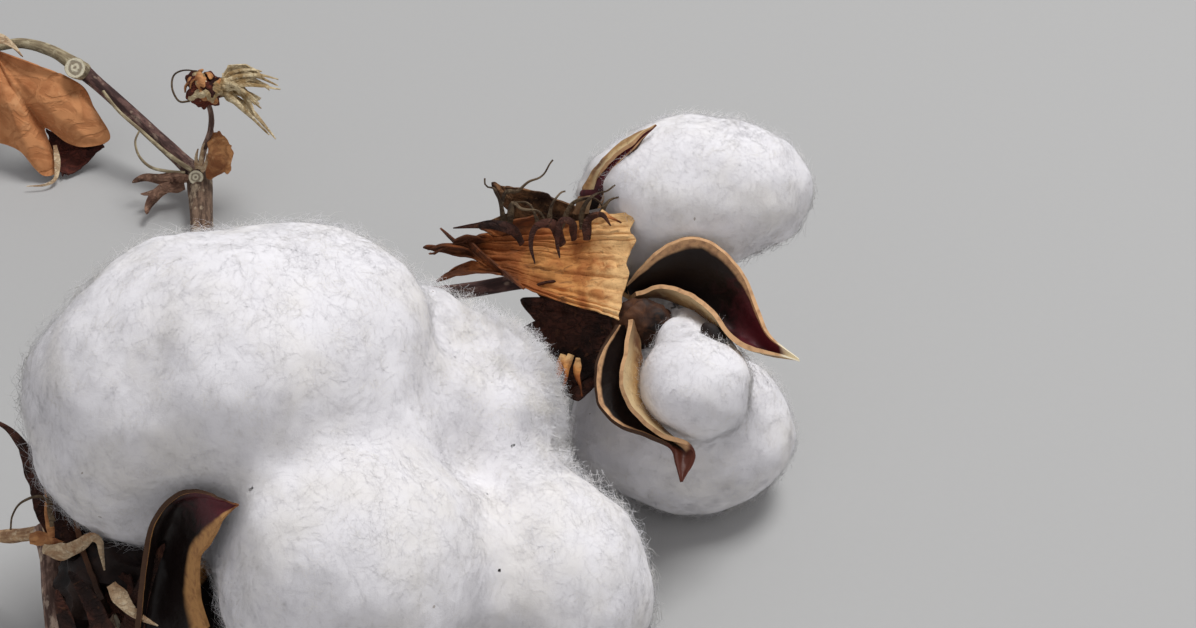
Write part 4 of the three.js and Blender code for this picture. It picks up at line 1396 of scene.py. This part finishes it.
class COTTON_OT_bud(Piecework, bpy.types.Operator):
    """Makes the dried bud at the top of the stem, its fringes and tendrils"""

    bl_idname = "cotton.bud"
    bl_label = "Bud"

    def make(self, context):
        middle = np.array((-83.0, 82.8, 28.6))
        bud = ball("dried_bud", 5)
        places = points(bud)
        turn = np.arctan2(places[:, 1], places[:, 0])
        folds = 0.1 * np.sin(5 * turn + 2 * places[:, 2]) + 0.22 * rough(places, 0.45, 3) + 0.1 * rough(places, 0.18, 5)
        put_points(bud, lying(middle) + places * (1 + folds)[:, None] * np.array((3.9, 3.6, 3.6)) * MM)
        settle(dress(bud, look("bud_heart")), ("dried_bud",))
        rng = np.random.default_rng(4)
        settle(join(self.scales(rng, middle), "bud_scales"))
        settle(join(self.fringes(rng), "bud_fringes"))
        self.shreds()
        self.tendrils()

    def scales(self, rng, middle):
        pieces = []
        for i in range(SCALES):
            around = unit(rng.normal(0, 1, 3) + (0.4, -0.9, 0.9))
            start = middle + around * 3.0
            along = unit(rng.normal(0, 1, 3))
            along = unit(along - around * (along @ around))
            steps = (-1.6, -0.4, 0.9, 2.2)
            route = [start + along * step + around * (0.9 + 0.5 * step - 0.3 * step * step) for step in steps]
            finish = look("orange_leaf" if start[0] < -84.5 or i % 4 == 0 else "straw")
            width, twist = rng.uniform(1.6, 2.8), rng.normal(0, 0.1)
            pieces.append(strip("scale", route, width, around, finish, twist, i, 0.5, 0.5))
        return pieces

    def fringes(self, rng):
        pieces = []
        tips = (
            (-67.8, 82.6, 30.4), (-70.8, 83.4, 31.6), (-68.8, 81.4, 28.8), (-71.6, 78.4, 24.6),
            (-69.2, 75.8, 21.6), (-72.4, 80.0, 27.0), (-74.4, 79.4, 25.6), (-75.6, 83.6, 32.0),
            (-73.0, 81.8, 29.6), (-71.0, 80.6, 26.4), (-75.0, 81.0, 27.4),
        )
        for i, tip in enumerate(tips):
            for k in range(2):
                start = np.array((-79.6, 82.4, 29.4)) + rng.normal(0, 0.9, 3)
                end = np.array(tip) + rng.normal(0, 0.7, 3)
                rise = np.array((0, 0.4, 1.4)) + rng.normal(0, 0.5, 3)
                route = (start, start + (end - start) * 0.35 + rise, start + (end - start) * 0.7 + rise * 0.8, end)
                width, twist = rng.uniform(0.7, 1.4), rng.normal(0, 0.15)
                pieces.append(strip("fringe", route, width, (0, -0.7, 0.7), look("straw"), twist, i + k, 0.5, 0.6))
        return pieces

    def shreds(self):
        """The tuft and the torn clump at the fork."""
        tuft = (
            ((-86.4, 81.0, 9.0), (-85.8, 81.6, 12.0), (-85.2, 82.2, 14.2), (-84.0, 82.2, 15.8)),
            ((-87.0, 81.2, 9.0), (-87.0, 81.8, 11.6), (-86.4, 82.2, 13.6)),
            ((-86.0, 80.6, 8.6), (-84.8, 81.0, 10.8), (-84.4, 81.6, 12.8)),
        )
        clump = (
            ((-89.0, 81.0, 6.6), (-92.0, 80.6, 7.0), (-95.4, 80.8, 6.4), (-98.6, 81.0, 6.6), (-101.4, 80.4, 6.0)),
            ((-90.0, 80.0, 5.6), (-93.4, 79.2, 5.6), (-96.6, 79.0, 5.0), (-99.4, 78.2, 4.6)),
            ((-93.0, 80.0, 6.0), (-95.4, 77.6, 5.2), (-96.8, 75.0, 4.2), (-97.4, 72.6, 3.2)),
        )
        pieces = [
            strip("tuft", route, 1.3, (0, -0.7, 0.7), look("pale_rim"), 0.1, i) for i, route in enumerate(tuft)
        ] + [
            strip("clump", route, 3.0, (0, -0.6, 0.8), look("pink_leaf"), 0.15 * (-1) ** i, i + 5, 0.6, 0.5)
            for i, route in enumerate(clump)
        ]
        settle(join(pieces, "stem_shreds"))

    def tendrils(self):
        """The dark tendril beside the bud and the pale one under the side stem."""
        for name, kind, slot, start, end, relief, route in (
            (
                "tendril", "grey_tooth", "bud", 0.24, 0.14, 0.02,
                (
                    (-86.0, 80.0, 27.4), (-87.9, 79.0, 28.0), (-89.4, 80.6, 30.2), (-89.0, 82.2, 32.4),
                    (-87.2, 82.8, 33.2), (-84.8, 83.4, 32.6), (-83.4, 83.4, 31.2),
                ),
            ),
            (
                "curl", "pale_stalk", "stalk", 0.4, 0.22, 0.03,
                (
                    (-90, 82.2, 7.2), (-94.1, 81.9, 7.9), (-97.3, 81.7, 9.2),
                    (-99.6, 83.0, 11.2), (-100.4, 85.0, 13.6), (-99.6, 86.6, 15.2),
                ),
            ),
        ):
            settle(dress(limb(name, route, start, end, sides=8, step=0.4, relief=relief), look(kind)))


class COTTON_OT_locks(Piecework, bpy.types.Operator):
    """Makes the locks of cotton with their fibres"""

    bl_idname = "cotton.locks"
    bl_label = "Locks"

    def make(self, context):
        density = sizes().fibre_density
        long_mm, half = sizes().fibre_length / MM, sizes().fibre_half_width / MM
        for seed, (side, middles) in enumerate(BOLLS.items()):
            boll = boll_cotton(f"{side}_cotton", list(middles), PUFFS[side], HOLLOWS[side], SOFTNESS[side], seed)
            for name, lock in split_locks(boll, middles).items():
                settle(dress(lock, look("cotton")), (name,), angle=None)
            skin = Skin(boll)
            for k, count in enumerate(FUZZ[side]):
                fuzz = grow_fibres(
                    f"{side}_fuzz_{k + 1}", skin, int(count * density), (0.45 + 0.25 * k) * long_mm, half, 0.02, 0.15,
                    steps=5, stand=1.4 + 0.8 * k, seed=200 + 10 * seed + k, curly=0.3,
                )
                settle(dress(fuzz, look("cotton_fibre")), angle=None)
            if side == "left":
                wisps = grow_fibres(
                    "left_wisps", skin, int(WISPS * density), long_mm, half, 0.2, 1.2,
                    steps=7, stand=3.4, seed=77, curly=0.9, near=((-12, -22, 36), 13),
                )
                settle(dress(wisps, look("cotton_fibre")), angle=None)
            bpy.data.objects.remove(boll)


class COTTON_OT_stage(Piecework, bpy.types.Operator):
    """Makes the floor, the soft lights and the camera"""

    bl_idname = "cotton.stage"
    bl_label = "Stage"

    def make(self, context):
        floor = basic("floor", bpy.ops.mesh.primitive_plane_add, size=8, location=(0, 0, -0.0001))
        f = Finish("floor", 0.9)
        grain = f.noise(1.5, 3)
        f.base(grain * 0.1, hues().floor, paint("a4a4a3"))
        f.colour()
        floor.data.materials.append(f.material)
        for name, towards, far, size, power in LIGHTS:
            lamp = linked(name, bpy.data.lights.new(name, "AREA"))
            lamp.data.size, lamp.data.energy = size, power
            lamp.location = lying(LIT_PLACE) + unit(towards) * far
            lamp.rotation_euler = look_along(-unit(towards))
        world = bpy.data.worlds.new("soft_room")
        world.use_nodes = True
        light = world.node_tree.nodes["Background"].inputs
        light[0].default_value, light[1].default_value = (*paint("ecebee"), 1), 0.45
        context.scene.world = world
        context.scene.view_settings.view_transform = "Standard"
        camera = linked("camera", bpy.data.cameras.new("camera"))
        camera.data.lens, camera.data.sensor_width, camera.data.clip_start = LENS, SENSOR, 0.02
        camera.location = lying(CAMERA_PLACE)
        camera.rotation_euler = (CAMERA_TILT, 0, 0)
        context.scene.camera = camera


def look_along(way):
    """The turn that points a lamp's beam along a way."""
    x, y, z = way
    return (math.acos(-z), 0, math.atan2(y, x) - math.pi / 2)


class COTTON_PT_branch(bpy.types.Panel):
    """Lists the pieces of the branch"""

    bl_idname = "COTTON_PT_branch"
    bl_label = "Cotton branch"
    bl_space_type = "VIEW_3D"
    bl_region_type = "UI"
    bl_category = "Cotton"

    def draw(self, context):
        for step in STEPS:
            self.layout.operator(step.bl_idname)
        for group in (context.scene.cotton_branch_sizes, context.scene.cotton_branch_colours):
            for name in group.__annotations__:
                self.layout.prop(group, name)


STEPS = (
    COTTON_OT_stage,
    COTTON_OT_stems,
    COTTON_OT_burs,
    COTTON_OT_bracts,
    COTTON_OT_leaf,
    COTTON_OT_bud,
    COTTON_OT_locks,
)
CLASSES = (CottonBranchSizes, CottonBranchColours, *STEPS, COTTON_PT_branch)


def register():
    for kind in CLASSES:
        bpy.utils.register_class(kind)
    bpy.types.Scene.cotton_branch_sizes = bpy.props.PointerProperty(type=CottonBranchSizes)
    bpy.types.Scene.cotton_branch_colours = bpy.props.PointerProperty(type=CottonBranchColours)


def unregister():
    del bpy.types.Scene.cotton_branch_sizes, bpy.types.Scene.cotton_branch_colours
    for kind in reversed(CLASSES):
        bpy.utils.unregister_class(kind)


def main():
    register()
    for step in STEPS:
        group, name = step.bl_idname.split(".")
        getattr(getattr(bpy.ops, group), name)()


if __name__ == "__main__":
    main()
